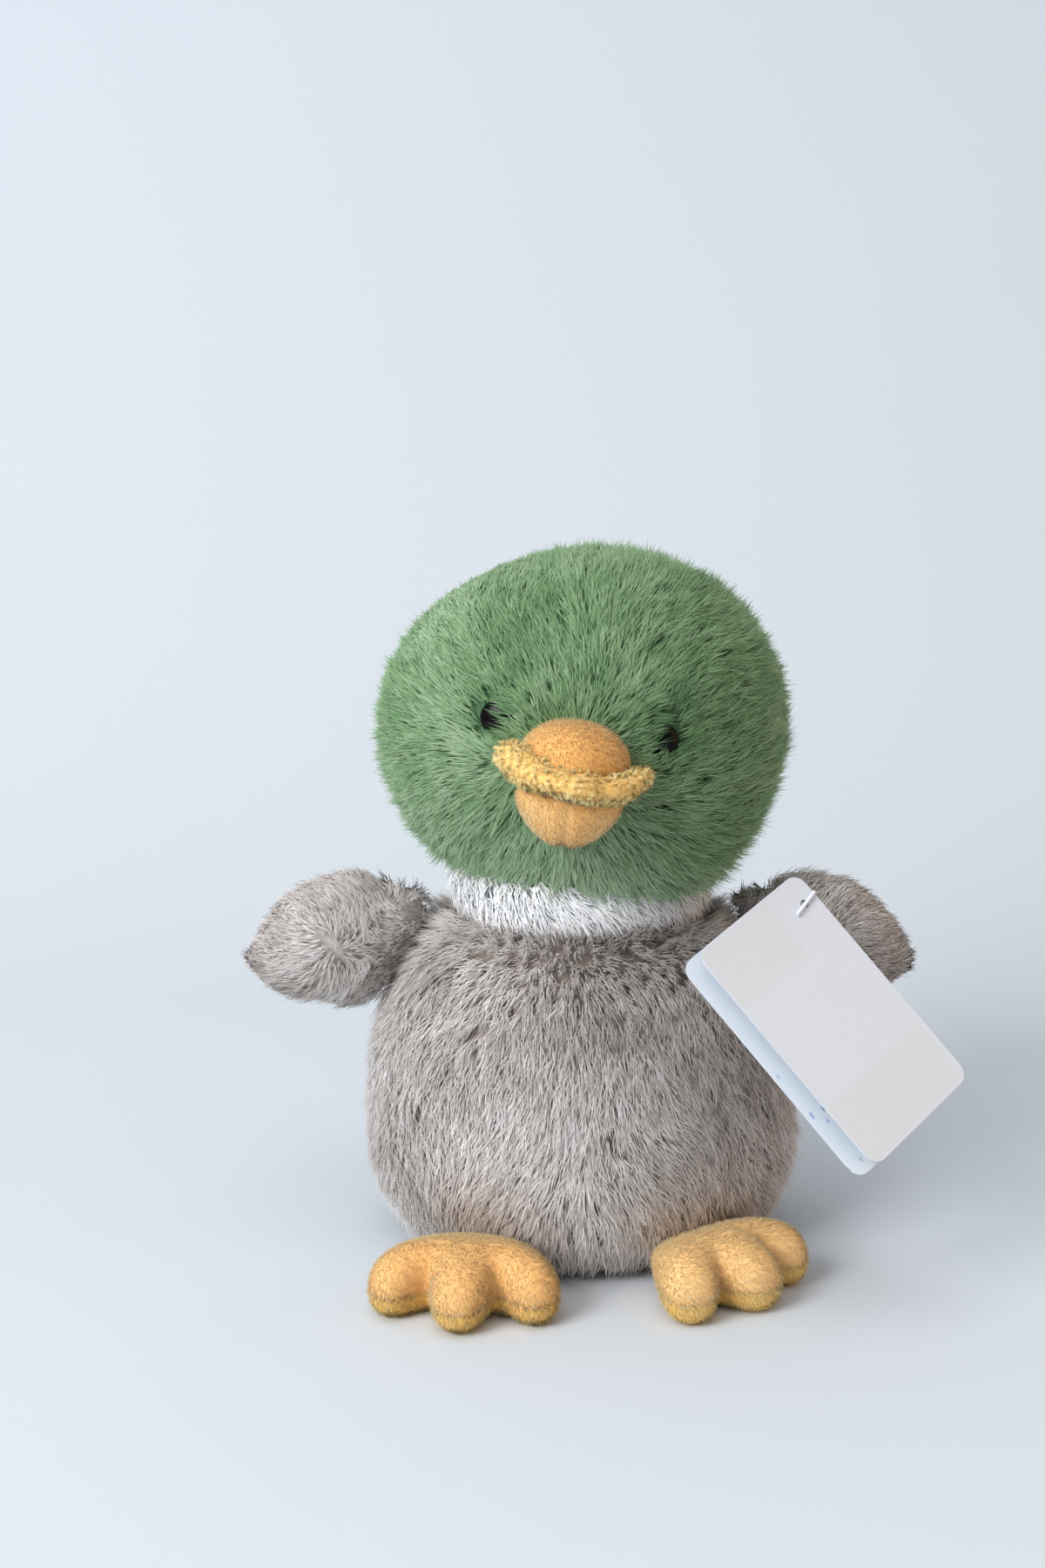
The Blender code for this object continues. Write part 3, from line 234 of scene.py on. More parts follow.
class DuckColours(bpy.types.PropertyGroup):
    """Colours of the fibres, the card and the studio paper."""

    green_root: colour_property("Green root", "Head pile near the backing", "527550")
    green_shade: colour_property("Green shade", "Darkest tips of the head pile", "739668")
    green_light: colour_property("Green light", "Palest tips of the head pile", "b4cca8")
    taupe_root: colour_property("Taupe root", "Body pile near the backing", "9a8f87")
    taupe_shade: colour_property("Taupe shade", "Darkest tips of the body pile", "c3bab3")
    taupe_light: colour_property("Taupe light", "Palest tips of the body pile", "f5f2f0")
    white_root: colour_property("White root", "Neck pile near the backing", "f6f9fa")
    white_shade: colour_property("White shade", "Darkest tips of the neck pile", "fdfefe")
    white_light: colour_property("White light", "Palest tips of the neck pile", "ffffff")
    orange_root: colour_property("Orange root", "Orange plush near the backing", "eba655")
    orange_shade: colour_property("Orange shade", "Darkest tips of the orange plush", "fbc579")
    orange_light: colour_property("Orange light", "Palest tips of the orange plush", "ffe7b4")
    yellow_root: colour_property("Yellow root", "Yellow plush near the backing", "fbb958")
    yellow_shade: colour_property("Yellow shade", "Darkest tips of the yellow plush", "ffd984")
    yellow_light: colour_property("Yellow light", "Palest tips of the yellow plush", "ffeaaa")
    eye: colour_property("Eyes", "Acrylic of the eye beads", "070606")
    card: colour_property("Card", "Coated face of the tag", "d7dae0")
    card_print: colour_property("Card print", "Small printed dashes on the tag's back leaf", "9fb2d2")
    nylon: colour_property("Nylon", "Fastener of the tag", "f0f3f8")
    paper: colour_property("Studio paper", "Floor and backdrop", "d2d8dd")


# Meshes


def mesh_from(work, name):
    """A mesh of the finished bmesh, which is freed."""
    mesh = bpy.data.meshes.new(name)
    work.to_mesh(mesh)
    work.free()
    return mesh


def show(name, mesh):
    """A new object at the origin that holds the mesh."""
    made = bpy.data.objects.new(name, mesh)
    bpy.context.scene.collection.objects.link(made)
    return made


def evaluated_mesh(piece):
    """A mesh of the piece as its modifiers leave it."""
    bpy.context.view_layer.update()
    graph = bpy.context.evaluated_depsgraph_get()
    return bpy.data.meshes.new_from_object(piece.evaluated_get(graph), depsgraph=graph)


def settled(mesh):
    """The mesh with its points and faces in the order of their places.

    Mesh operators number what they make in another order each run, and the strands are drawn in that order.
    """
    points = np.round(points_of(mesh), 7)
    order = np.lexsort(points.T)
    rank = np.empty(len(order), dtype=np.int64)
    rank[order] = np.arange(len(order))
    faces = []
    for face in mesh.polygons:
        ring = [int(rank[number]) for number in face.vertices]
        start = ring.index(min(ring))
        faces.append(ring[start:] + ring[:start])
    made = bpy.data.meshes.new(mesh.name)
    made.from_pydata(points[order].tolist(), [], sorted(faces))
    made.update()
    bpy.data.meshes.remove(mesh)
    return made


def ring_cage(rings):
    """A closed cage of rings stacked along Z: each is height, middle x, middle y, half x, half y."""
    work = bmesh.new()
    bmesh.ops.create_circle(work, segments=RING_SIDES, radius=1)
    last = (0, 0, 0, 1, 1)
    points, edges = list(work.verts), list(work.edges)
    for number, ring in enumerate(rings):
        if number:
            made = bmesh.ops.extrude_edge_only(work, edges=edges)["geom"]
            points = [item for item in made if isinstance(item, bmesh.types.BMVert)]
            edges = [item for item in made if isinstance(item, bmesh.types.BMEdge)]
        height, middle_x, middle_y, half_x, half_y = ring
        for point in points:
            across = (point.co.x - last[1]) / last[3]
            along = (point.co.y - last[2]) / last[4]
            point.co = (middle_x + across * half_x, middle_y + along * half_y, height)
        last = ring
    bmesh.ops.holes_fill(work, edges=[edge for edge in work.edges if edge.is_boundary], sides=0)
    bmesh.ops.recalc_face_normals(work, faces=work.faces)
    return work


def ball_rings(count):
    """Unit rings of a ball, equally spaced from its lower to its upper end."""
    rings = []
    for number in range(count):
        angle = math.pi * (number + 0.5) / count
        rings.append((-math.cos(angle), 0, 0, math.sin(angle), math.sin(angle)))
    return rings


def sideways(work):
    """Turns a cage that is stacked along Z so that it is stacked along X, with its x as depth."""
    turn = Matrix(((0, 0, 1), (1, 0, 0), (0, 1, 0)))
    bmesh.ops.transform(work, matrix=turn.to_4x4(), verts=work.verts)
    return work


def soft_skin(work, low, high, place=None):
    """The smooth form of a cage that fills the box from low to high, put in its place."""
    piece = show("skin", settled(mesh_from(work, "skin")))
    modifier = piece.modifiers.new("Soft form", "SUBSURF")
    modifier.levels = modifier.render_levels = FIT_LEVELS
    form = evaluated_mesh(piece)
    for axis in range(3):
        values = [point.co[axis] for point in form.vertices]
        bottom, top = min(values), max(values)
        scale = (high[axis] - low[axis]) / (top - bottom)
        for point in piece.data.vertices:
            point.co[axis] = low[axis] + (point.co[axis] - bottom) * scale
    bpy.data.meshes.remove(form)
    modifier.levels = modifier.render_levels = SKIN_LEVELS
    mesh = evaluated_mesh(piece)
    bpy.data.objects.remove(piece, do_unlink=True)
    if place:
        mesh.transform(place)
    return mesh


def points_of(mesh):
    """The places of the mesh's points, as rows."""
    flat = np.empty(len(mesh.vertices) * 3)
    mesh.vertices.foreach_get("co", flat)
    return flat.reshape(-1, 3)


def normals_of(mesh):
    """The normals at the mesh's points, as rows."""
    flat = np.empty(len(mesh.vertices) * 3)
    mesh.vertex_normals.foreach_get("vector", flat)
    return flat.reshape(-1, 3)


def shifted(mesh, offsets, floor=None):
    """The mesh with its points moved by the offsets, and kept above the floor."""
    points = points_of(mesh) + offsets
    if floor is not None:
        points[:, 2] = np.maximum(points[:, 2], floor)
    mesh.vertices.foreach_set("co", points.astype(np.float32).ravel())
    mesh.update()
    return mesh


def pressed(mesh, depths, floor=None):
    """The mesh pressed in by the depths along its normals, and kept above the floor."""
    return shifted(mesh, -normals_of(mesh) * np.asarray(depths).reshape(-1, 1), floor)


def within_frame(points, frame_matrix):
    """The points in the coordinates of a frame."""
    inverse = np.array(frame_matrix.inverted())
    return points @ inverse[:3, :3].T + inverse[:3, 3]


def bell(values, middle, spread):
    """1 in the middle, falling smoothly to 0 past the spread."""
    return np.exp(-(((values - middle) / spread) ** 2))


def unit(vectors):
    """The vectors, each made one long."""
    return vectors / np.maximum(np.linalg.norm(vectors, axis=-1, keepdims=True), 1e-9)


def waves(points, size, seed):
    """A smooth wandering value, mostly between -1 and 1, whose swells are about size apart."""
    rng = np.random.default_rng(seed)
    total = np.zeros(len(points))
    for _ in range(7):
        way = unit(rng.normal(size=3))
        pitch = 2 * math.pi / (size * rng.uniform(0.7, 1.6))
        total += np.sin(points @ way * pitch + rng.uniform(0, 2 * math.pi))
    return total / 3.0


def near(points, place, reach):
    """1 at the place, falling smoothly to 0 past the reach."""
    return np.exp(-(np.linalg.norm(points - np.array(place), axis=1) / reach) ** 2)


def along(facing, way):
    """The way, laid along the surface."""
    way = np.broadcast_to(np.asarray(way, dtype=float), facing.shape)
    return unit(way - facing * (way * facing).sum(axis=1, keepdims=True) + 1e-6)


def swung(flow, facing, angles):
    """The flow turned about the surface's normals."""
    return flow * np.cos(angles)[:, None] + np.cross(facing, flow) * np.sin(angles)[:, None]


# Pile, drawn as fine closed strands in locks, because hair systems are not carried by a mesh file


def strewn(mesh, spacing_area, rng):
    """Evenly strewn points on the mesh, one for each spacing_area, with their normals."""
    mesh.calc_loop_triangles()
    corners = np.empty(len(mesh.loop_triangles) * 3, dtype=np.int64)
    mesh.loop_triangles.foreach_get("vertices", corners)
    corners = corners.reshape(-1, 3)
    points, normals = points_of(mesh), normals_of(mesh)
    a, b, c = points[corners[:, 0]], points[corners[:, 1]], points[corners[:, 2]]
    areas = np.linalg.norm(np.cross(b - a, c - a), axis=1) / 2
    reach = np.cumsum(areas)
    count = int(reach[-1] / spacing_area)
    picks = (np.arange(count) + rng.random(count)) * reach[-1] / count
    chosen = np.minimum(np.searchsorted(reach, picks), len(areas) - 1)
    first, second = np.sqrt(rng.random(count)), rng.random(count)
    weights = np.stack([1 - first, first * (1 - second), first * second], axis=1)[:, :, None]
    spots = (points[corners[chosen]] * weights).sum(axis=1)
    facing = unit((normals[corners[chosen]] * weights).sum(axis=1))
    return spots, facing


BENT = {  # root, three points round the middle, tip
    "faces": ((0, 2, 1), (0, 3, 2), (0, 1, 3), (4, 1, 2), (4, 2, 3), (4, 3, 1)),
    "reach": (0.02, 0.5, 0.5, 0.5, 0.98),
    "tone": (0.0, -0.008, 0.008, 0.0, 0.0),
}
STRAIGHT = {  # three points round the root, tip
    "faces": ((0, 2, 1), (0, 1, 3), (1, 2, 3), (2, 0, 3)),
    "reach": (0.1, 0.1, 0.02, 0.98),
    "tone": (-0.008, 0.008, 0.0, 0.0),
}


def comb(spots, facing, flow, length, lift, tone, style, rng, floor=None):
    """Strands in locks about the spots: their points, soft normals and tones."""
    each = style["strands"]
    count = len(spots)
    flow = unit(swung(flow, facing, rng.normal(0, style["lock_turn"], count)))
    across = np.cross(facing, flow)
    length = length * (1 + style["length_spread"] * rng.uniform(-1, 1, count))
    low_lift = style["root_lift"] + lift + rng.normal(0, 0.12, count)
    high_lift = style["tip_lift"] + lift + rng.normal(0, 0.16, count)
    tone = tone + rng.normal(0, style["lock_tone"], count)

    def rows(values):
        return np.repeat(values, each, axis=0)

    def rising(flow, facing, lift):
        return flow * np.cos(lift)[:, None] + facing * np.sin(lift)[:, None]

    total = count * each
    radius = style["lock_radius"] * np.sqrt(rng.random(total))
    angle = rng.uniform(0, 2 * math.pi, total)
    roots = rows(spots) + rows(flow) * (radius * np.cos(angle))[:, None]
    roots += rows(across) * (radius * np.sin(angle))[:, None]
    out = rows(facing)
    strand_flow = swung(rows(flow), out, rng.normal(0, style["strand_turn"], total))
    strand_length = rows(length) * (1 + 0.25 * rng.uniform(-1, 1, total))
    width = style["width"] * rng.uniform(0.7, 1.25, total)
    tones = rows(tone) + rng.normal(0, style["strand_tone"], total)
    under = rng.random(total) < style["undercoat"]
    strand_length = np.where(under, strand_length * 0.62, strand_length)
    width = np.where(under, width * 2.4, width)
    tones = np.where(under, tones - 0.06, tones)
    low = rising(strand_flow, out, rows(low_lift) + rng.normal(0, 0.12, total))
    high = rising(strand_flow, out, rows(high_lift) + rng.normal(0, 0.2, total))
    middle = roots + low * (strand_length * 0.46)[:, None]
    tips = middle + high * (strand_length * 0.54)[:, None]
    lock_middle = spots + rising(flow, facing, low_lift) * (length * 0.46)[:, None]
    lock_tip = lock_middle + rising(flow, facing, high_lift) * (length * 0.54)[:, None]
    gather = np.where(under, 0.0, style["gather"] * rng.uniform(0.3, 1.2, total))[:, None]
    middle += (rows(lock_middle) - middle) * gather * 0.35
    tips += (rows(lock_tip) - tips) * gather
    way = unit(tips - roots)
    side = unit(np.cross(way, out))
    ridge = np.cross(side, way)
    width = width[:, None]
    soft = style["softness"]
    lean = out * soft + ridge * (1 - soft)
    sharp = (1 - soft) * 0.9
    if style["kind"] is BENT:
        half = side * width / 2
        points = (roots, middle + half, middle - half, middle + ridge * width * 0.4, tips)
        normals = (lean, lean + side * sharp, lean - side * sharp, lean + way * 0.1, lean + way * 0.2)
    else:
        points = (roots + side * width / 2, roots - side * width / 2, roots + ridge * width * 0.5, tips)
        normals = (lean + side * sharp, lean - side * sharp, lean, lean + way * 0.2)
    points = np.stack(points, axis=1)
    if floor is not None:
        points[:, :, 2] = np.maximum(points[:, :, 2], floor)
    tones = np.clip(tones, 0.03, 0.97)
    if total:
        tones[0], tones[-1] = 0.03, 0.97
    return points, unit(np.stack(normals, axis=1)), tones


def pile_mesh(name, kind, points, normals, tones, skin=None, skin_reach=0.3):
    """One mesh of all the strands, and of the skin under them, with tone and reach in a map of its own."""
    count, corners_each = len(points), points.shape[1]
    faces = np.array(kind["faces"])
    corners = (np.arange(count)[:, None, None] * corners_each + faces[None]).reshape(-1)
    tone = tones[:, None] + np.array(kind["tone"])[None]
    reach = np.broadcast_to(np.array(kind["reach"]), tone.shape)
    values = np.stack([tone, reach], axis=2).reshape(-1, 2)[corners]
    starts = np.arange(count * len(faces)) * 3
    all_points, all_normals = points.reshape(-1, 3), normals.reshape(-1, 3)
    if skin:
        loops = np.empty(len(skin.loops), dtype=np.int64)
        skin.loops.foreach_get("vertex_index", loops)
        sizes = np.empty(len(skin.polygons), dtype=np.int64)
        skin.polygons.foreach_get("loop_total", sizes)
        places = np.concatenate([[0], np.cumsum(sizes)[:-1]])
        turn = 2 * math.pi * (np.arange(len(loops)) - np.repeat(places, sizes)) / np.repeat(sizes, sizes)
        skin_tone = float(np.clip(tones.mean(), 0.1, 0.9))
        patch = np.stack([skin_tone + 0.03 * np.cos(turn), skin_reach + 0.03 * np.sin(turn)], axis=1)
        starts = np.concatenate([starts, places + len(corners)])
        corners = np.concatenate([corners, loops + len(all_points)])
        values = np.concatenate([values, patch])
        all_points = np.concatenate([all_points, points_of(skin)])
        all_normals = np.concatenate([all_normals, normals_of(skin)])
    mesh = bpy.data.meshes.new(name)
    mesh.vertices.add(len(all_points))
    mesh.vertices.foreach_set("co", all_points.astype(np.float32).ravel())
    mesh.loops.add(len(corners))
    mesh.loops.foreach_set("vertex_index", corners.astype(np.int32))
    mesh.polygons.add(len(starts))
    mesh.polygons.foreach_set("loop_start", starts.astype(np.int32))
    mesh.update(calc_edges=True)
    mesh.uv_layers.new(name="OFBake")
    mesh.uv_layers["OFBake"].uv.foreach_set("vector", values.astype(np.float32).ravel())
    mesh.shade_smooth()
    mesh.normals_split_custom_set_from_vertices(all_normals.astype(np.float32))
    return mesh


def long_pile():
    """Long crimped pile, brushed into soft locks."""
    sizes = bpy.context.scene.duck_sizes
    return {
        "kind": BENT,
        "strands": 9,
        "density": sizes.strands,
        "width": sizes.strand_width,
        "lock_radius": 1.5 * MM,
        "length_spread": 0.14,
        "root_lift": math.radians(40),
        "tip_lift": math.radians(15),
        "lock_turn": math.radians(8),
        "strand_turn": math.radians(13),
        "gather": 0.14,
        "lock_tone": 0.07,
        "strand_tone": 0.11,
        "undercoat": 0.25,
        "softness": 0.86,
        "skin_reach": 0.5,
    }


def short_plush():
    """Short upright velvety plush."""
    sizes = bpy.context.scene.duck_sizes
    return {
        "kind": STRAIGHT,
        "strands": 2,
        "density": sizes.plush_strands,
        "width": sizes.plush_width,
        "lock_radius": 1.0 * MM,
        "length_spread": 0.2,
        "root_lift": math.radians(62),
        "tip_lift": math.radians(48),
        "lock_turn": math.radians(18),
        "strand_turn": math.radians(25),
        "gather": 0.1,
        "lock_tone": 0.06,
        "strand_tone": 0.24,
        "undercoat": 0.0,
        "softness": 0.78,
        "skin_reach": 0.3,
    }


def dress(name, node, body, skin, material, style, comb_at, number, backing=None, floor=None):
    """Puts combed pile on a skin that stands for a node.

    The pile is in four panels where it has a backing, and else in one mesh with its skin. comb_at takes
    the spots and their normals, and gives which to keep, the flow, length, lift and tone there.
    """
    rng = np.random.default_rng(bpy.context.scene.duck_sizes.seed * 100 + number)
    spots, facing = strewn(skin, style["strands"] / style["density"] * MM * MM, rng)
    kept, flow, length, lift, tone = comb_at(spots, facing)
    groups = {"": kept}
    if backing:
        front, left = spots[:, 1] < 0, spots[:, 0] > 0
        groups = {
            "_pile_front_left": kept & front & left,
            "_pile_front_right": kept & front & ~left,
            "_pile_back_left": kept & ~front & left,
            "_pile_back_right": kept & ~front & ~left,
        }
    made = []
    for label, picks in groups.items():
        chosen = [values[picks] for values in (spots, facing, flow, length, lift, tone)]
        locks = comb(*chosen, style, rng, floor)
        title = name + label
        mesh = pile_mesh(title, style["kind"], *locks, None if backing else skin, style["skin_reach"])
        made.append(show(title, mesh))
        made[-1].data.materials.append(material)
    if backing:
        skin.shade_smooth()
        skin.materials.append(backing)
        made.append(show(name + "_backing", skin))
    for piece in made:
        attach(piece, body)
    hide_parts(node)


# Materials


def add_node(material, kind, inputs=None, **options):
    """Adds a node with its options; inputs hold numbers, colours or the output sockets that feed them."""
    node = material.node_tree.nodes.new(kind)
    for name, value in options.items():
        setattr(node, name, value)
    for name, value in (inputs or {}).items():
        if isinstance(value, bpy.types.NodeSocket):
            material.node_tree.links.new(value, node.inputs[name])
        else:
            node.inputs[name].default_value = value
    return node


def new_material(name):
    """An empty node material."""
    made = bpy.data.materials.new(name)
    made.use_nodes = True
    made.node_tree.nodes.clear()
    return made


def coloured(material, factor, stops):
    """A colour that runs through the stops of (place, colour) as the factor goes from 0 to 1."""
    node = add_node(material, "ShaderNodeValToRGB", {"Fac": factor})
    elements = node.color_ramp.elements
    while len(elements) < len(stops):
        elements.new(0.5)
    for element, (place, colour) in zip(elements, stops):
        element.position = place
        element.color = colour
    return node.outputs["Color"]


def blended(material, factor, first, second):
    """A mix of two colour sockets or colours."""
    inputs = {"Factor": factor}
    node = add_node(material, "ShaderNodeMix", inputs, data_type="RGBA", clamp_factor=True)
    for index, value in ((6, first), (7, second)):
        if isinstance(value, bpy.types.NodeSocket):
            material.node_tree.links.new(value, node.inputs[index])
        else:
            node.inputs[index].default_value = value
    return node.outputs[2]


def finished(material, inputs, height=None, distance=0.0001, strength=0.5):
    """Closes the material with its shader, and a bump where a height is given."""
    if height:
        bump = add_node(
            material, "ShaderNodeBump", {"Height": height, "Distance": distance, "Strength": strength}
        )
        inputs = dict(inputs, Normal=bump.outputs["Normal"])
    shader = add_node(material, "ShaderNodeBsdfPrincipled", inputs)
    add_node(material, "ShaderNodeOutputMaterial", {"Surface": shader.outputs["BSDF"]})
    return material


def noise_of(material, millimetres, detail=3.0):
    """Cloudy noise whose swells are the given number of millimetres wide, on the object's own coordinates."""
    place = add_node(material, "ShaderNodeTexCoord")
    inputs = {"Vector": place.outputs["Object"], "Scale": 1 / (millimetres * MM), "Detail": detail}
    return add_node(material, "ShaderNodeTexNoise", inputs).outputs["Fac"]


def pile_fibre(name, root, shade, light, sheen, rise=(0.1, 0.75)):
    """Acrylic fibre: matt and soft, darker at its roots, with a pale sheen along the edge of the form."""
    made = new_material(name)
    uv = add_node(made, "ShaderNodeUVMap", uv_map="OFBake")
    split = add_node(made, "ShaderNodeSeparateXYZ", {"Vector": uv.outputs["UV"]})
    deep = [value * 0.8 for value in root[:3]] + [1.0]
    low = coloured(made, split.outputs["X"], ((0.05, deep), (0.6, list(root)), (0.95, list(shade))))
    high = coloured(made, split.outputs["X"], ((0.05, list(root)), (0.32, list(shade)), (0.92, list(light))))
    inputs = {"Value": split.outputs["Y"], "From Min": rise[0], "From Max": rise[1]}
    reach = add_node(made, "ShaderNodeMapRange", inputs, interpolation_type="SMOOTHSTEP")
    return finished(
        made,
        {
            "Base Color": blended(made, reach.outputs["Result"], low, high),
            "Roughness": 0.8,
            "Specular IOR Level": 0.2,
            "Sheen Weight": sheen,
            "Sheen Roughness": 0.5,
            "Sheen Tint": list(light),
        },
    )


def backing_cloth(name, root):
    """Knitted backing cloth: dull, a little darker than the pile's roots, with the knit's small loops."""
    made = new_material(name)
    dark = [value * 0.75 for value in root[:3]] + [1.0]
    noise = noise_of(made, 1.1)
    colour = coloured(made, noise, ((0.3, dark), (0.7, list(root))))
    return finished(made, {"Base Color": colour, "Roughness": 0.95}, noise, 0.0004)


def cloudy_solid(name, code, darker, millimetres, roughness, bump=0.0002):
    """A plain stuff with the fine mottle that its real one shows."""
    made = new_material(name)
    noise = noise_of(made, millimetres)
    light = linear(code)
    dark = [value * darker for value in light[:3]] + [1.0]
    colour = coloured(made, noise, ((0.3, dark), (0.7, light)))
    return finished(made, {"Base Color": colour, "Roughness": roughness}, noise, bump)


def polished_acrylic():
    """Polished black acrylic: near black under a hard bright gloss."""
    made = new_material("Polished acrylic")
    black = list(bpy.context.scene.duck_colours.eye)
    lighter = [value * 2 for value in black[:3]] + [1.0]
    colour = coloured(made, noise_of(made, 3.0, 2.0), ((0.35, black), (0.75, lighter)))
    return finished(made, {"Base Color": colour, "Roughness": 0.2, "IOR": 1.49, "Specular IOR Level": 0.12})


def moulded_nylon():
    """Moulded nylon: milky, slightly glossy, with faint flow marks."""
    made = new_material("Moulded nylon")
    light = list(bpy.context.scene.duck_colours.nylon)
    dark = [value * 0.9 for value in light[:3]] + [1.0]
    colour = coloured(made, noise_of(made, 1.5, 1.0), ((0.3, dark), (0.7, light)))
    return finished(made, {"Base Color": colour, "Roughness": 0.3, "IOR": 1.53})


def tag_frame():
    """The tag's frame at its hole: Z out of the front leaf, X along the long side."""
    facing = TAG_FACING.normalized()
    across = facing.cross(TAG_RUN).normalized()
    turn = Matrix((across.cross(facing), across, facing)).transposed().to_4x4()
    return Matrix.Translation(TAG_HOLE) @ turn


def within(material, value, low, high, edge):
    """1 where the value lies between low and high, with soft edges."""
    rise = add_node(material, "ShaderNodeMapRange", {"Value": value, "From Min": low, "From Max": low + edge})
    ending = {"Value": value, "From Min": high, "From Max": high - edge}
    fall = add_node(material, "ShaderNodeMapRange", ending)
    both = {0: rise.outputs["Result"], 1: fall.outputs["Result"]}
    return add_node(material, "ShaderNodeMath", both, operation="MULTIPLY").outputs["Value"]


def coated_card(name, printed):
    """Coated paperboard: nearly white and softly glossy, with clear film patches or small printed dashes."""
    made = new_material(name)
    colours = bpy.context.scene.duck_colours
    place = tag_frame()
    coordinates = add_node(made, "ShaderNodeTexCoord")
    on_piece = {"Vector": coordinates.outputs["Object"]}
    turned = add_node(made, "ShaderNodeMapping", on_piece, vector_type="TEXTURE")
    turned.inputs["Location"].default_value = place.translation
    turned.inputs["Rotation"].default_value = place.to_euler()
    split = add_node(made, "ShaderNodeSeparateXYZ", {"Vector": turned.outputs["Vector"]})
    noise = noise_of(made, 0.8, 4.0)
    light = linear(BACK_LEAF_COLOUR) if printed else list(colours.card)
    dark = [value * 0.96 for value in light[:3]] + [1.0]
    colour = coloured(made, noise, ((0.3, dark), (0.7, light)))
    if printed:
        stretch = {"Vector": turned.outputs["Vector"], "Scale": (0.45, 1, 1)}
        longer = add_node(made, "ShaderNodeMapping", stretch)
        cells = {"Vector": longer.outputs["Vector"], "Scale": 1 / (3.6 * MM), "Randomness": 0.8}
        dashes = add_node(made, "ShaderNodeTexVoronoi", cells, feature="F1")
        ink = {"Value": dashes.outputs["Distance"], "From Min": 0.2, "From Max": 0.14}
        spot = add_node(made, "ShaderNodeMapRange", ink)
        colour = blended(made, spot.outputs["Result"], colour, list(colours.card_print))
        roughness = 0.45
    else:
        film = linear(FILM_COLOUR)
        for x_low, x_high, y_low, y_high in FILM_PATCHES:
            along_x = within(made, split.outputs["X"], x_low * MM, x_high * MM, FILM_EDGE)
            along_y = within(made, split.outputs["Y"], y_low * MM, y_high * MM, FILM_EDGE)
            patch = add_node(made, "ShaderNodeMath", {0: along_x, 1: along_y}, operation="MULTIPLY")
            thinned = {0: patch.outputs["Value"], 1: FILM_SHARE}
            part = add_node(made, "ShaderNodeMath", thinned, operation="MULTIPLY")
            colour = blended(made, part.outputs["Value"], colour, film)
        roughness = 0.4
    return finished(made, {"Base Color": colour, "Roughness": roughness}, noise, 0.00003, 0.3)


def studio_paper():
    """Seamless paper: matt and even, with painted shade that darkens and cools it up the wall."""
    made = new_material("Seamless paper")
    light = list(bpy.context.scene.duck_colours.paper)
    # Painted shade: the wall is darker and bluer than the floor
    deep = [light[0] * 0.90, light[1] * 0.94, light[2] * 0.96, 1.0]
    place = add_node(made, "ShaderNodeTexCoord")
    split = add_node(made, "ShaderNodeSeparateXYZ", {"Vector": place.outputs["Object"]})
    climb = {"Value": split.outputs["Z"], "From Min": 0.0, "From Max": 0.9}
    rise = add_node(made, "ShaderNodeMapRange", climb)
    colour = coloured(made, rise.outputs["Result"], ((0.0, light), (1.0, deep)))
    return finished(made, {"Base Color": colour, "Roughness": 0.95, "Specular IOR Level": 0.1})


def fibre_of(title, hue, sheen, rise=(0.1, 0.75)):
    """The fibre in one hue of the duck's colours, made at its first use."""
    colours = bpy.context.scene.duck_colours
    stages = [getattr(colours, hue + part) for part in ("_root", "_shade", "_light")]
    return bpy.data.materials.get(title) or pile_fibre(title, *stages, sheen, rise)


def taupe_pile():
    """Long acrylic pile of the body, wings and tail."""
    return fibre_of("Taupe acrylic pile", "taupe", 0.3)


def orange_plush():
    """Short plush of the beak and the tops of the feet."""
    return fibre_of("Orange short plush", "orange", 0.45, (0.0, 0.6))


def yellow_plush():
    """Short plush of the brim and the soles."""
    return fibre_of("Yellow short plush", "yellow", 0.4, (0.0, 0.6))


# Frames of the face


def face_matrix():
    """The face's frame at the head's centre."""
    roll = Matrix.Rotation(-FACE_YAW, 4, "Z") @ Matrix.Rotation(FACE_ROLL, 4, "Y")
    return Matrix.Translation(HEAD_CENTRE) @ roll


def eye_place(side):
    """The frame of an eye's seat, with Z out of the head."""
    half = HEAD_SIZE / 2
    across = side * EYE_SPACING / 2
    depth = math.sqrt(1 - (across / half.x) ** 2 - (EYE_RISE / half.z) ** 2)
    spot = Vector((across, -half.y * depth, EYE_RISE))
    outward = Vector((spot.x / half.x**2, spot.y / half.y**2, spot.z / half.z**2)).normalized()
    turn = outward.to_track_quat("Z", "Y").to_matrix().to_4x4()
    return face_matrix() @ Matrix.Translation(spot - outward * EYE_SEAT_DEPTH) @ turn


# Operators


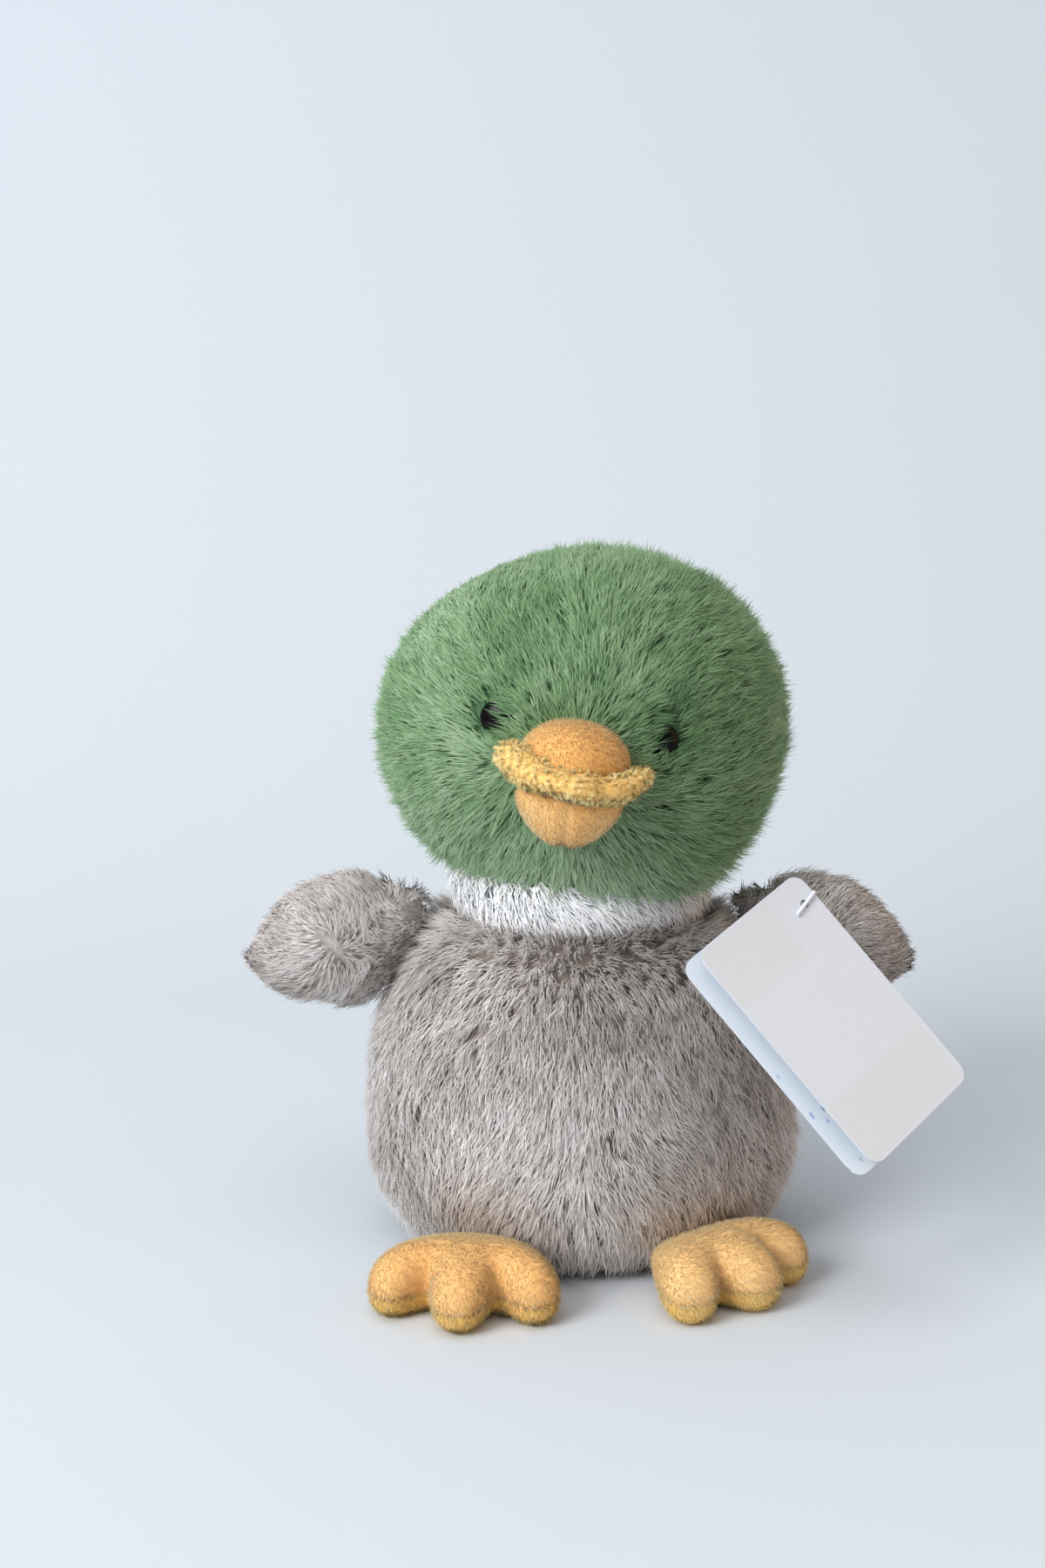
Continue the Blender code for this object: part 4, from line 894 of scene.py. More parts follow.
class PLUSHDUCK_OT_studio(bpy.types.Operator):
    """Build the paper sweep, the soft lamps and the camera"""

    bl_idname = "plushduck.studio"
    bl_label = "Studio"

    def execute(self, context):
        work = bmesh.new()
        bmesh.ops.create_grid(work, x_segments=1, y_segments=1, size=SWEEP_HALF_WIDTH)
        for point in work.verts:
            point.co.y = SWEEP_FRONT if point.co.y < 0 else SWEEP_BACK
        far = [edge for edge in work.edges if all(point.co.y > 0 for point in edge.verts)]
        made = bmesh.ops.extrude_edge_only(work, edges=far)["geom"]
        risen = [item for item in made if isinstance(item, bmesh.types.BMVert)]
        bmesh.ops.translate(work, vec=(0, 0, SWEEP_HEIGHT), verts=risen)
        half_way = SWEEP_HEIGHT / 2
        bend = [edge for edge in work.edges if all(p.co.y > 0 and p.co.z < half_way for p in edge.verts)]
        bmesh.ops.bevel(
            work, geom=bend, offset=SWEEP_BEND, segments=16, profile=0.5, affect="EDGES", material=-1
        )
        bmesh.ops.recalc_face_normals(work, faces=work.faces)
        mesh = mesh_from(work, "studio_sweep")
        if min(mesh.polygons, key=lambda face: face.center.z).normal.z < 0:
            mesh.flip_normals()
        mesh.shade_smooth()
        mesh.materials.append(studio_paper())
        show("studio_sweep", mesh)

        for name, spot, size, power, code in LAMPS:
            light = bpy.data.lights.new(name, "AREA")
            light.size = size
            light.energy = power
            light.color = linear(code)[:3]
            lamp = show(name, light)
            lamp.location = spot
            aim = HEAD_CENTRE * LAMP_AIM_SHARE - Vector(spot)
            lamp.rotation_euler = aim.to_track_quat("-Z", "Y").to_euler()
        world = bpy.data.worlds.new("Soft room")
        context.scene.world = world
        world.use_nodes = True
        world.node_tree.nodes["Background"].inputs["Color"].default_value = linear(ROOM_COLOUR)
        world.node_tree.nodes["Background"].inputs["Strength"].default_value = ROOM_STRENGTH

        lens = bpy.data.cameras.new("camera")
        lens.lens = CAMERA_LENS
        lens.sensor_width = CAMERA_SENSOR
        camera = show("camera", lens)
        camera.location = CAMERA_PLACE
        camera.rotation_euler = (CAMERA_TILT, 0, 0)
        context.scene.camera = camera
        context.scene.view_settings.view_transform = "Standard"
        return {"FINISHED"}


class PLUSHDUCK_OT_body(bpy.types.Operator):
    """Build the body's taupe pile"""

    bl_idname = "plushduck.body"
    bl_label = "Body pile"

    def execute(self, context):
        pile = context.scene.duck_sizes.body_pile
        rings = [
            (height * BODY_HEIGHT, 0, 0, wide * BODY_WIDTH / 2, deep * BODY_DEPTH / 2)
            for height, wide, deep in BODY_RINGS
        ]
        low = (-BODY_WIDTH / 2, -BODY_DEPTH / 2, -FLOOR_CUT)
        high = (BODY_WIDTH / 2, BODY_DEPTH / 2, BODY_HEIGHT)
        skin = soft_skin(ring_cage(rings), low, high)
        lumps = waves(points_of(skin), 38 * MM, 2)
        rise = points_of(skin)[:, 2]
        low_swell = 2.2 * np.exp(-(((rise - 22 * MM) / (26 * MM)) ** 2))
        skin = pressed(skin, np.minimum((4.6 + 0.6 * lumps - low_swell) * MM, DEEPEST["body"]), 0.6 * MM)
        backing = backing_cloth("Taupe knitted backing", context.scene.duck_colours.taupe_root)
        # The upper chest under the head: its pile is darker there, partly browner fibre and partly painted
        # shade under the head
        chest = (-8 * MM, -58 * MM, 108 * MM)

        def comb_at(spots, facing):
            kept = spots[:, 2] < NECK_HEIGHT - 2 * MM
            under = facing[:, 2] < -0.75
            flow = np.where(under[:, None], along(facing, (0, 1, 0)), along(facing, (0, 0, -1)))
            swirl = 0.45 * waves(spots, 55 * MM, 3) + 0.15 * waves(spots, 18 * MM, 4)
            collar = np.clip((spots[:, 2] - 98 * MM) / (14 * MM), 0, 1)
            right_side = np.clip(-spots[:, 0] / (60 * MM), 0, 1)
            lift = 0.08 * waves(spots, 24 * MM, 5) + 0.9 * collar - 0.16 * right_side
            tone = 0.53 + 0.12 * waves(spots, 45 * MM, 6) + 0.08 * waves(spots, 12 * MM, 7)
            # Painted shade: the pile on the duck's left side (+X) is made darker, as the side away from the
            # key lamp
            tone = tone - 0.2 * near(spots, chest, 18 * MM) - 0.14 * np.clip(spots[:, 0] / (60 * MM), 0, 1)
            # Painted shade: a dark, grainy patch on the body's right shoulder beside the wing's root
            shoulder_painted_shade = near(spots, (-52 * MM, -38 * MM, 110 * MM), 13 * MM)
            tone = tone - shoulder_painted_shade * (0.3 - 0.2 * waves(spots, 4 * MM, 8))
            length = np.where(under, 0.5, 1.0) * pile
            return kept, swung(flow, facing, swirl), length, lift, tone

        dress(
            "body", "body_cover", "body", skin, taupe_pile(), long_pile(), comb_at, 1, backing, floor=0.4 * MM
        )
        return {"FINISHED"}


class PLUSHDUCK_OT_head(bpy.types.Operator):
    """Build the head's green pile"""

    bl_idname = "plushduck.head"
    bl_label = "Head pile"

    def execute(self, context):
        pile = context.scene.duck_sizes.head_pile
        colours = context.scene.duck_colours
        material = fibre_of("Green acrylic pile", "green", 0.3)
        centre = Matrix.Translation(HEAD_CENTRE)
        skin = soft_skin(ring_cage(ball_rings(HEAD_RINGS)), -HEAD_SIZE / 2, HEAD_SIZE / 2, centre)
        eyes = [eye_place(side) for side in (-1, 1)]
        face = face_matrix() @ Vector((0, -66 * MM, -4 * MM))
        points = points_of(skin)
        ways = unit(points - np.array(HEAD_CENTRE))
        depths = 5.4 + 0.5 * waves(points, 34 * MM, 12)
        for way, spread, depth in HEAD_HOLLOWS:
            depths = depths + depth * near(ways, unit(np.array(way)), spread)
        skin = pressed(skin, np.minimum(depths * MM, DEEPEST["head"]))
        backing = backing_cloth("Green knitted backing", colours.green_root)

        def comb_at(spots, facing):
            radius = np.hypot(spots[:, 0], spots[:, 1])
            kept = (spots[:, 2] > 132 * MM) | (radius > 43 * MM)
            back = np.clip((spots[:, 1] + 10 * MM) / (70 * MM), 0, 1)[:, None]
            way = unit((spots - np.array(face)) * np.where(spots[:, :1] < 0, (0.5, 1, 1), (1, 1, 1)))
            flow = along(facing, way + np.array([0, 0, -1.3]) * back)
            on_face = spots[:, 1] < -20 * MM
            cheek = np.clip((spots[:, 0] - 8 * MM) / (30 * MM), 0, 1)
            cheek = cheek * np.clip((205 * MM - spots[:, 2]) / (30 * MM), 0, 1)
            swirl = 0.25 * waves(spots, 45 * MM, 13) + 0.14 * waves(spots, 15 * MM, 14)
            swirl = swirl + 0.6 * cheek * (1 - back[:, 0])
            chin = near(spots, (16 * MM, -40 * MM, 128 * MM), 34 * MM)
            length = pile * (1 + 0.5 * chin)
            crown = near(unit(spots - np.array(HEAD_CENTRE)), unit(np.array((-0.56, -0.1, 0.83))), 0.5)
            length = length * (1 - 0.35 * crown)
            lift = 0.12 + 0.10 * waves(spots, 20 * MM, 15) + 0.25 * chin - 0.5 * crown
            # Painted light: the chin is made paler (0.2), as if lit from the floor below
            tone = 0.50 + 0.10 * waves(spots, 50 * MM, 16) + 0.08 * waves(spots, 11 * MM, 17) + 0.2 * chin
            # Painted shade: the pile on the head's left side (+X) is made darker, as the side away from the
            # key lamp
            tone = tone - 0.16 * np.clip(spots[:, 0] / (65 * MM), 0, 1)
            # Painted light: the lower face under the beak is made paler, as if lit from the floor below
            tone = tone + 0.25 * near(spots, (-12 * MM, -45 * MM, 130 * MM), 30 * MM)
            tone = tone - 0.14 * near(spots, (5 * MM, -55 * MM, 225 * MM), 35 * MM)
            for seat in eyes:
                eye = np.array(seat.translation)
                local = within_frame(spots, seat)
                slit = np.hypot(local[:, 0], local[:, 1] / 1.35)
                beak_side = ((spots - eye) * unit(np.array(face) - eye)).sum(axis=1) > 1.5 * MM
                kept = kept & ((slit > np.where(beak_side, 5.2, 5.0) * MM) | ~on_face)
                fringe = near(spots, eye, 9 * MM) * beak_side
                flow = unit(flow + along(facing, eye - spots) * 2.5 * fringe[:, None])
                lift = lift + 0.7 * fringe
                length = length * (1 + 0.2 * fringe)
                # Painted shade: the pile round each eye is darkened, as if shaded in the eye's recess
                tone = tone - 0.35 * near(spots, eye, 7.5 * MM)
            return kept, swung(flow, facing, swirl), length, lift, tone

        dress("head", "head_cover", "head", skin, material, long_pile(), comb_at, 2, backing)
        return {"FINISHED"}


class PLUSHDUCK_OT_neck_band(bpy.types.Operator):
    """Build the white pile of the neck band"""

    bl_idname = "plushduck.neck_band"
    bl_label = "Neck band"

    def execute(self, context):
        pile = context.scene.duck_sizes.neck_pile
        material = fibre_of("White acrylic pile", "white", 0.2)
        low, high = NECK_HEIGHT + 1 * MM, NECK_HEIGHT + BAND_HEIGHT - 4 * MM
        outer, inner = BAND_RADIUS - 3.5 * MM, BAND_RADIUS - BAND_WALL
        work = bmesh.new()
        middle = Matrix.Translation(((outer + inner) / 2, 0, (low + high) / 2))
        turn = middle @ Matrix.Rotation(math.pi / 2, 4, "X")
        ring = turn @ Matrix.Diagonal(((outer - inner) / 2, (high - low) / 2, 1, 1))
        bmesh.ops.create_circle(work, segments=16, radius=1, matrix=ring)
        outline = work.verts[:] + work.edges[:]
        bmesh.ops.spin(work, geom=outline, axis=(0, 0, 1), angle=2 * math.pi, steps=72, use_merge=True)
        bmesh.ops.remove_doubles(work, verts=work.verts, dist=0.01 * MM)
        bmesh.ops.recalc_face_normals(work, faces=work.faces)
        skin = settled(mesh_from(work, "skin"))

        def comb_at(spots, facing):
            kept = np.hypot(spots[:, 0], spots[:, 1]) > (outer + inner) / 2
            flow = along(facing, (0, 0, -1))
            swirl = 0.6 + 0.35 * waves(spots, 25 * MM, 23)
            lift = 0.10 * waves(spots, 14 * MM, 24)
            tone = 0.90 + 0.05 * waves(spots, 16 * MM, 25)
            length = pile * np.clip((spots[:, 2] - low + 5 * MM) / (14 * MM), 0.4, 1)
            return kept, swung(flow, facing, swirl), length, lift, tone

        sizes = context.scene.duck_sizes
        style = dict(long_pile(), root_lift=math.radians(24), tip_lift=0, lock_turn=math.radians(12))
        style.update(width=sizes.strand_width * 1.4, strand_tone=0.05, softness=0.96, undercoat=0.4)
        dress("neck_band_plush", "neck_band", "neck", skin, material, style, comb_at, 3)
        return {"FINISHED"}


class PLUSHDUCK_OT_eyes(bpy.types.Operator):
    """Build the two glossy eye beads"""

    bl_idname = "plushduck.eyes"
    bl_label = "Eyes"

    def execute(self, context):
        sizes = context.scene.duck_sizes
        material = polished_acrylic()
        for name, side in (("left", 1), ("right", -1)):
            work = bmesh.new()
            bmesh.ops.create_uvsphere(work, u_segments=32, v_segments=20, radius=1)
            dome = Matrix.Diagonal((sizes.eye_radius, sizes.eye_radius, sizes.eye_height, 1))
            bmesh.ops.transform(work, matrix=eye_place(side) @ dome, verts=work.verts)
            piece = show("eye_bead_" + name, mesh_from(work, "eye_bead_" + name))
            piece.data.shade_smooth()
            piece.data.materials.append(material)
            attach(piece, "head")
            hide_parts("eye_" + name)
        return {"FINISHED"}


class PLUSHDUCK_OT_beak(bpy.types.Operator):
    """Build the short plush of the domed upper bill, the rolled brim and the lower bill"""

    bl_idname = "plushduck.beak"
    bl_label = "Beak"

    def execute(self, context):
        pile = context.scene.duck_sizes.plush_pile
        face = face_matrix()
        half_depth = HEAD_SIZE.y / 2
        rings = []
        for across, deep, high, back, up in BRIM_RINGS:
            middle_y, half_y = back * BRIM_SIZE.y / 2, deep * BRIM_SIZE.y / 2
            middle_z, half_z = up * BRIM_SIZE.z / 2, high * BRIM_SIZE.z / 2
            rings.append((across * BRIM_SIZE.x / 2, middle_y, middle_z, half_y, half_z))
        front = -half_depth - BRIM_REACH
        low = (-BRIM_SIZE.x / 2, front, BRIM_RISE - BRIM_SIZE.z / 2)
        high = (BRIM_SIZE.x / 2, front + BRIM_SIZE.y, BRIM_RISE + BRIM_SIZE.z / 2)
        brim = soft_skin(sideways(ring_cage(rings)), low, high, face)
        local = within_frame(points_of(brim), face)
        drop = 0.1 * bell(local[:, 0], -14 * MM, 9 * MM) - 2.2 * bell(local[:, 0], 15 * MM, 11 * MM)
        brim = shifted(brim, drop[:, None] * MM * np.array(face.to_3x3() @ Vector((0, 0, 1))))
        fold = np.array(face @ Vector((13 * MM, front + 3 * MM, BRIM_RISE + 2.5 * MM)))
        puff = 1.5 * bell(local[:, 0], -15 * MM, 8 * MM) + 1.3 * bell(local[:, 0], 3 * MM, 6 * MM)
        brim = pressed(brim, (2.6 * near(points_of(brim), fold, 4.5 * MM) - puff) * MM)

        front = -half_depth - DOME_REACH
        low = (-DOME_SIZE.x / 2, front, DOME_TOP - DOME_SIZE.z)
        high = (DOME_SIZE.x / 2, front + DOME_SIZE.y, DOME_TOP)
        dome = soft_skin(ring_cage(ball_rings(DOME_RINGS)), low, high, face)

        rings = [
            (height * BILL_SIZE.z, 0, 0, wide * BILL_SIZE.x / 2, deep * BILL_SIZE.y / 2)
            for height, wide, deep in BILL_RINGS
        ]
        front = -half_depth - BILL_REACH
        low = (-BILL_SIZE.x / 2, front, BILL_TOP - BILL_SIZE.z)
        high = (BILL_SIZE.x / 2, front + BILL_SIZE.y, BILL_TOP)
        bill = soft_skin(ring_cage(rings), low, high, face)
        local = within_frame(points_of(bill), face)
        share = np.clip((BILL_TOP - local[:, 2]) / BILL_SIZE.z, 0, 1)
        seam = (local[:, 1] < BILL_SIZE.y / 2 + front) * (0.8 + 0.4 * share) * bell(local[:, 0], 0, 1.8 * MM)
        narrow = -0.24 * share**2 * local[:, 0]
        bill = shifted(bill, narrow[:, None] * np.array(face.to_3x3() @ Vector((1, 0, 0))))
        bill = pressed(bill, seam * MM)

        def comb_as(number, long, turn, ridges, hollow, pale=0.45, grain=0.0):
            def comb_at(spots, facing):
                kept = spots[:, 1] < -52 * MM
                swirl = turn * waves(spots, 9 * MM, number)
                across = within_frame(spots, face)[:, 0]
                ridge = bell(np.abs(across), 12 * MM, 4 * MM)
                tone = pale + 0.08 * waves(spots, 9 * MM, number + 1)
                tone = tone + 0.08 * waves(spots, 24 * MM, number + 2)
                # Paler along the lower bill's two ridges: partly the plush's paler colour, partly a painted
                # highlight
                tone = tone + ridges * ridge - hollow * near(spots, fold, 5 * MM)
                tone = tone + grain * waves(spots, 1.8 * MM, number + 5)
                flow = swung(along(facing, (0, -0.5, -1)), facing, swirl)
                return kept, flow, np.full(len(spots), pile * long), np.zeros(len(spots)), tone

            return comb_at

        plush = short_plush()
        shaggy = dict(plush, kind=BENT, gather=0.7, lock_tone=0.14, length_spread=0.35, lock_radius=0.9 * MM)
        shaggy.update(strands=7, softness=0.75, lock_turn=math.radians(60))
        shaggy.update(root_lift=math.radians(70), tip_lift=math.radians(35))
        brim_comb = comb_as(31, 1.7, 0.9, 0, 0.8, 0.62, 0.14)
        dome_comb = comb_as(34, 1, 0.15, 0, 0, 0.38, 0.06)
        bill_comb = comb_as(37, 1, 0.15, 0.5, 0, 0.45, 0.06)
        parts = (
            ("beak_brim_plush", "beak_brim", brim, yellow_plush(), shaggy, brim_comb),
            ("beak_upper_plush", "beak_upper", dome, orange_plush(), plush, dome_comb),
            ("beak_lower_plush", "beak_lower", bill, orange_plush(), plush, bill_comb),
        )
        for number, (name, node, skin, material, style, comb_at) in enumerate(parts):
            skin = pressed(skin, 1.3 * MM)
            dress(name, node, "head", skin, material, style, comb_at, 10 + number)
        return {"FINISHED"}


class PLUSHDUCK_OT_wings(bpy.types.Operator):
    """Build the pile of the two wings, which parts at a whorl on the front"""

    bl_idname = "plushduck.wings"
    bl_label = "Wings"

    def execute(self, context):
        pile = context.scene.duck_sizes.wing_pile
        for number, (name, side) in enumerate((("left", 1), ("right", -1))):
            mirror = Matrix.Scale(side, 4, (1, 0, 0))
            place = mirror @ Matrix.Translation(WING_SEAM) @ Matrix.Rotation(-WING_LEAN, 4, "Y")
            rings = []
            for reach, middle, high, thick in WING_RINGS:
                half_height, half_depth = high * WING_HEIGHT / 2, thick * WING_THICKNESS / 2
                rings.append((reach * WING_REACH, 0, middle * WING_HEIGHT / 2, half_depth, half_height))
            low = (0.3 * MM, -WING_THICKNESS / 2, WING_DROP - WING_HEIGHT / 2)
            high = (WING_REACH, WING_THICKNESS / 2, WING_DROP + WING_HEIGHT / 2)
            skin = soft_skin(sideways(ring_cage(rings)), low, high, place)
            if side < 0:
                skin.flip_normals()
            seam = np.array(place.translation)
            seam_way = np.array((place.to_3x3() @ Vector((1, 0, 0))).normalized())
            reach = (points_of(skin) - seam) @ seam_way
            skin = pressed(skin, DEEPEST["wing"] * np.clip(reach / (16 * MM), 0, 1))
            whorl = np.array(place @ WHORL)
            out = np.array((place.to_3x3() @ Vector((1, 0, -0.35))).normalized())
            inward = np.array((-1.0 * side, -0.1, 0.15))
            turn_rng = np.random.default_rng(90 + number)

            def comb_at(spots, facing):
                front = facing[:, 1] < 0
                fan = near(spots, whorl, 15 * MM) * front
                root = np.exp(-(((spots - seam) @ seam_way) / (15 * MM)) ** 2)
                ridge = root * np.clip(facing[:, 2] * 1.6, 0, 1)
                way = unit(spots - whorl) * 2.2 * fan[:, None] + out * (1 - ridge)[:, None]
                way = way + inward * 2.0 * ridge[:, None]
                parting = near(spots, whorl, 4 * MM) * front
                swirl = 0.2 * waves(spots, 22 * MM, 43 + number)
                swirl = swirl + parting * turn_rng.normal(0, 1.2, len(spots))
                hollow = root * front * (1 - ridge)
                tip = np.clip(((spots - seam) @ seam_way - 24 * MM) / (22 * MM), 0, 1)
                under = np.clip(-facing[:, 2], 0, 1)
                lift = 0.08 * waves(spots, 15 * MM, 45) + 0.3 * fan - 0.5 * ridge + 0.3 * hollow
                crest = 4 * ridge * (1 - ridge)
                lift = lift - 0.45 * tip - 0.4 * under - 0.3 * crest
                tone = 0.38 + 0.10 * waves(spots, 14 * MM, 46) + 0.32 * hollow * waves(spots, 4 * MM, 47)
                # Painted light: the hollow beside the body is made paler (0.12), to lift the shade that falls
                # there; its grainy mottle is the fibres' own
                # Painted shade: the duck's left wing (+X) is made darker (0.08), as the side away from the
                # key lamp
                tone = tone + 0.12 * hollow + 0.18 * fan - (0.08 if side > 0 else 0)
                pole = np.clip((facing @ out - 0.85) / 0.12, 0, 1)
                # Painted shade: the wing's end is darkened, standing in for the self-shadow that its shorter
                # pile lacks
                tone = tone - 0.15 * pole
                length = pile * (1 + 0.9 * ridge) * (1 - 0.3 * crest) * (1 - 0.4 * hollow)
                length = length * (1 - 0.35 * tip) * (1 - 0.35 * pole)
                kept = np.ones(len(spots), dtype=bool)
                return kept, swung(along(facing, way), facing, swirl), length, lift, tone

            title, node, body = "wing_%s_plush" % name, "wing_%s_cover" % name, "wing_" + name
            dress(title, node, body, skin, taupe_pile(), long_pile(), comb_at, 20 + number)
        return {"FINISHED"}


class PLUSHDUCK_OT_tail(bpy.types.Operator):
    """Build the pile of the tail stub"""

    bl_idname = "plushduck.tail"
    bl_label = "Tail"

    def execute(self, context):
        pile = context.scene.duck_sizes.body_pile
        rings = [
            (reach * TAIL_REACH, 0, 0, wide * TAIL_WIDTH / 2, thick * TAIL_THICKNESS / 2)
            for reach, thick, wide in TAIL_RINGS
        ]
        turn = Matrix.Rotation(TAIL_LIFT, 4, "X") @ Matrix.Rotation(math.pi / 2, 4, "Z")
        place = Matrix.Translation(TAIL_PLACE) @ turn
        low = (0, -TAIL_WIDTH / 2, -TAIL_THICKNESS / 2)
        high = (TAIL_REACH, TAIL_WIDTH / 2, TAIL_THICKNESS / 2)
        skin = pressed(soft_skin(sideways(ring_cage(rings)), low, high, place), 3.6 * MM)
        out = np.array((place.to_3x3() @ Vector((1, 0, -0.3))).normalized())

        def comb_at(spots, facing):
            kept = spots[:, 1] > 58 * MM
            flow = swung(along(facing, out), facing, 0.2 * waves(spots, 15 * MM, 51))
            end = np.clip((facing @ out - 0.6) / 0.4, 0, 1)
            # Painted shade: the tail's end is darkened, standing in for the pile's self-shadow there
            tone = 0.5 + 0.12 * waves(spots, 14 * MM, 52) - 0.15 * end
            return kept, flow, np.full(len(spots), pile * 0.85), 0.4 * end, tone

        dress("tail_plush", "tail_cover", "body", skin, taupe_pile(), long_pile(), comb_at, 30)
        return {"FINISHED"}


class PLUSHDUCK_OT_feet(bpy.types.Operator):
    """Build the short plush of the feet: an orange upper and a yellow sole that meet at an edge seam"""

    bl_idname = "plushduck.feet"
    bl_label = "Feet"

    def foot_cage(self, length):
        """A six-sided palm that thins to the heel, with three toes drawn out of its front."""
        work = bmesh.new()
        half = FOOT_THICKNESS / 2
        lower = []
        for across, along_share in PALM_SHARES:
            thin = HEEL_SHARE if along_share == 0 else 1
            lower.append(work.verts.new((across * FOOT_WIDTH / 2, along_share * length, -half * thin)))
        palm = work.faces.new(lower)
        upper = bmesh.ops.extrude_face_region(work, geom=[palm], use_keep_orig=True)["geom"]
        for point in [item for item in upper if isinstance(item, bmesh.types.BMVert)]:
            point.co.z = -point.co.z
        bmesh.ops.recalc_face_normals(work, faces=work.faces)
        sides = [face for face in work.faces if len(face.verts) == 4]
        for face in [face for face in sides if face.normal.y < -TOE_FACING_SHARE]:
            outward = face.normal.copy()
            made = bmesh.ops.extrude_face_region(work, geom=[face])["geom"]
            points = [item for item in made if isinstance(item, bmesh.types.BMVert)]
            bmesh.ops.delete(work, geom=[face], context="FACES_ONLY")
            bmesh.ops.translate(work, vec=outward * TOE_LENGTH_SHARE * length, verts=points)
            middle = sum((point.co for point in points), Vector()) / len(points)
            shrink = Matrix.Diagonal((TOE_END_SHARE, TOE_END_SHARE, TOE_END_SHARE, 1))
            bmesh.ops.transform(work, matrix=shrink, space=Matrix.Translation(-middle), verts=points)
            for point in [point for point in points if point.co.z > 0]:
                point.co.z *= TOE_TOP_SHARE
        bmesh.ops.recalc_face_normals(work, faces=work.faces)
        return work

    def eased(self, whole):
        """The foot with the folds between its toes filled out on top, as the stuffing does."""
        work = bmesh.new()
        work.from_mesh(whole)
        top = [point for point in work.verts if point.co.z > FOOT_PANEL_RISE + 2 * MM]
        for _ in range(4):
            bmesh.ops.smooth_vert(work, verts=top, factor=0.5, use_axis_z=True)
        work.to_mesh(whole)
        work.free()
        whole.update()
        return whole

    def panel(self, whole, is_upper):
        """The part of the foot above or below the edge seam, closed and tucked in along the seam."""
        work = bmesh.new()
        work.from_mesh(whole)
        bmesh.ops.bisect_plane(
            work,
            geom=work.verts[:] + work.edges[:] + work.faces[:],
            plane_co=(0, 0, FOOT_PANEL_RISE),
            plane_no=(0, 0, 1),
            clear_inner=is_upper,
            clear_outer=not is_upper,
        )
        bmesh.ops.holes_fill(work, edges=[edge for edge in work.edges if edge.is_boundary], sides=0)
        bmesh.ops.recalc_face_normals(work, faces=work.faces)
        return settled(mesh_from(work, "skin"))

    def execute(self, context):
        pile = context.scene.duck_sizes.plush_pile
        for number, (name, (x, y, turn, length)) in enumerate(FOOT_PLACES.items()):
            place = Matrix.Translation((x, y, FOOT_SEAM_RISE)) @ Matrix.Rotation(turn, 4, "Z")
            low = (-FOOT_WIDTH / 2, -length, -FOOT_SEAM_RISE - FLOOR_CUT)
            high = (FOOT_WIDTH / 2, 0, low[2] + FOOT_THICKNESS)
            whole = self.eased(soft_skin(self.foot_cage(length), low, high, place))
            seam = 0.5 * np.exp(-(((points_of(whole)[:, 2] - FOOT_PANEL_RISE) / (1.6 * MM)) ** 2))
            whole = pressed(whole, (0.2 + seam) * MM, 0.5 * MM)
            heel = np.array(place.translation)
            out = np.array(place.to_3x3() @ Vector((0, -1, 0)))

            def comb_at(spots, facing):
                kept = (spots[:, 1] < -44 * MM) & (np.abs(facing[:, 2]) < 0.9995)
                swirl = 0.15 * waves(spots, 12 * MM, 61 + number)
                flow = swung(along(facing, out + np.array([0, 0, -0.5])), facing, swirl)
                tip = np.clip(np.linalg.norm(spots - heel, axis=1) / length * 2.4 - 1.5, 0, 1)
                tone = 0.40 + 0.3 * tip + 0.04 * waves(spots, 10 * MM, 63) + 0.06 * waves(spots, 30 * MM, 64)
                tone = tone + 0.08 * waves(spots, 1.8 * MM, 65)
                edge = bell(spots[:, 2], FOOT_PANEL_RISE, 2.5 * MM)
                # Painted light: the foot's upward faces are made paler (0.1), as lit from above
                tone = tone + 0.1 * np.clip(facing[:, 2], 0, 1) + 0.2 * edge + (0.17 if name == "left" else 0)
                return kept, flow, pile * (1 + 0.6 * edge), np.zeros(len(spots)), tone + paler

            plush = short_plush()
            fluffy = dict(plush, gather=0.5, lock_tone=0.1, length_spread=0.35, root_lift=math.radians(75))
            halves = (("upper", orange_plush(), plush), ("sole", yellow_plush(), fluffy))
            for label, material, style in halves:
                paler = 0 if label == "upper" else -0.25
                dress(
                    "foot_%s_%s_plush" % (name, label), "foot_%s_%s" % (name, label), "foot_" + name,
                    self.panel(whole, label == "upper"), material, style, comb_at,
                    40 + 2 * number + (label == "sole"), floor=0.2 * MM,
                )
            bpy.data.meshes.remove(whole)
        return {"FINISHED"}


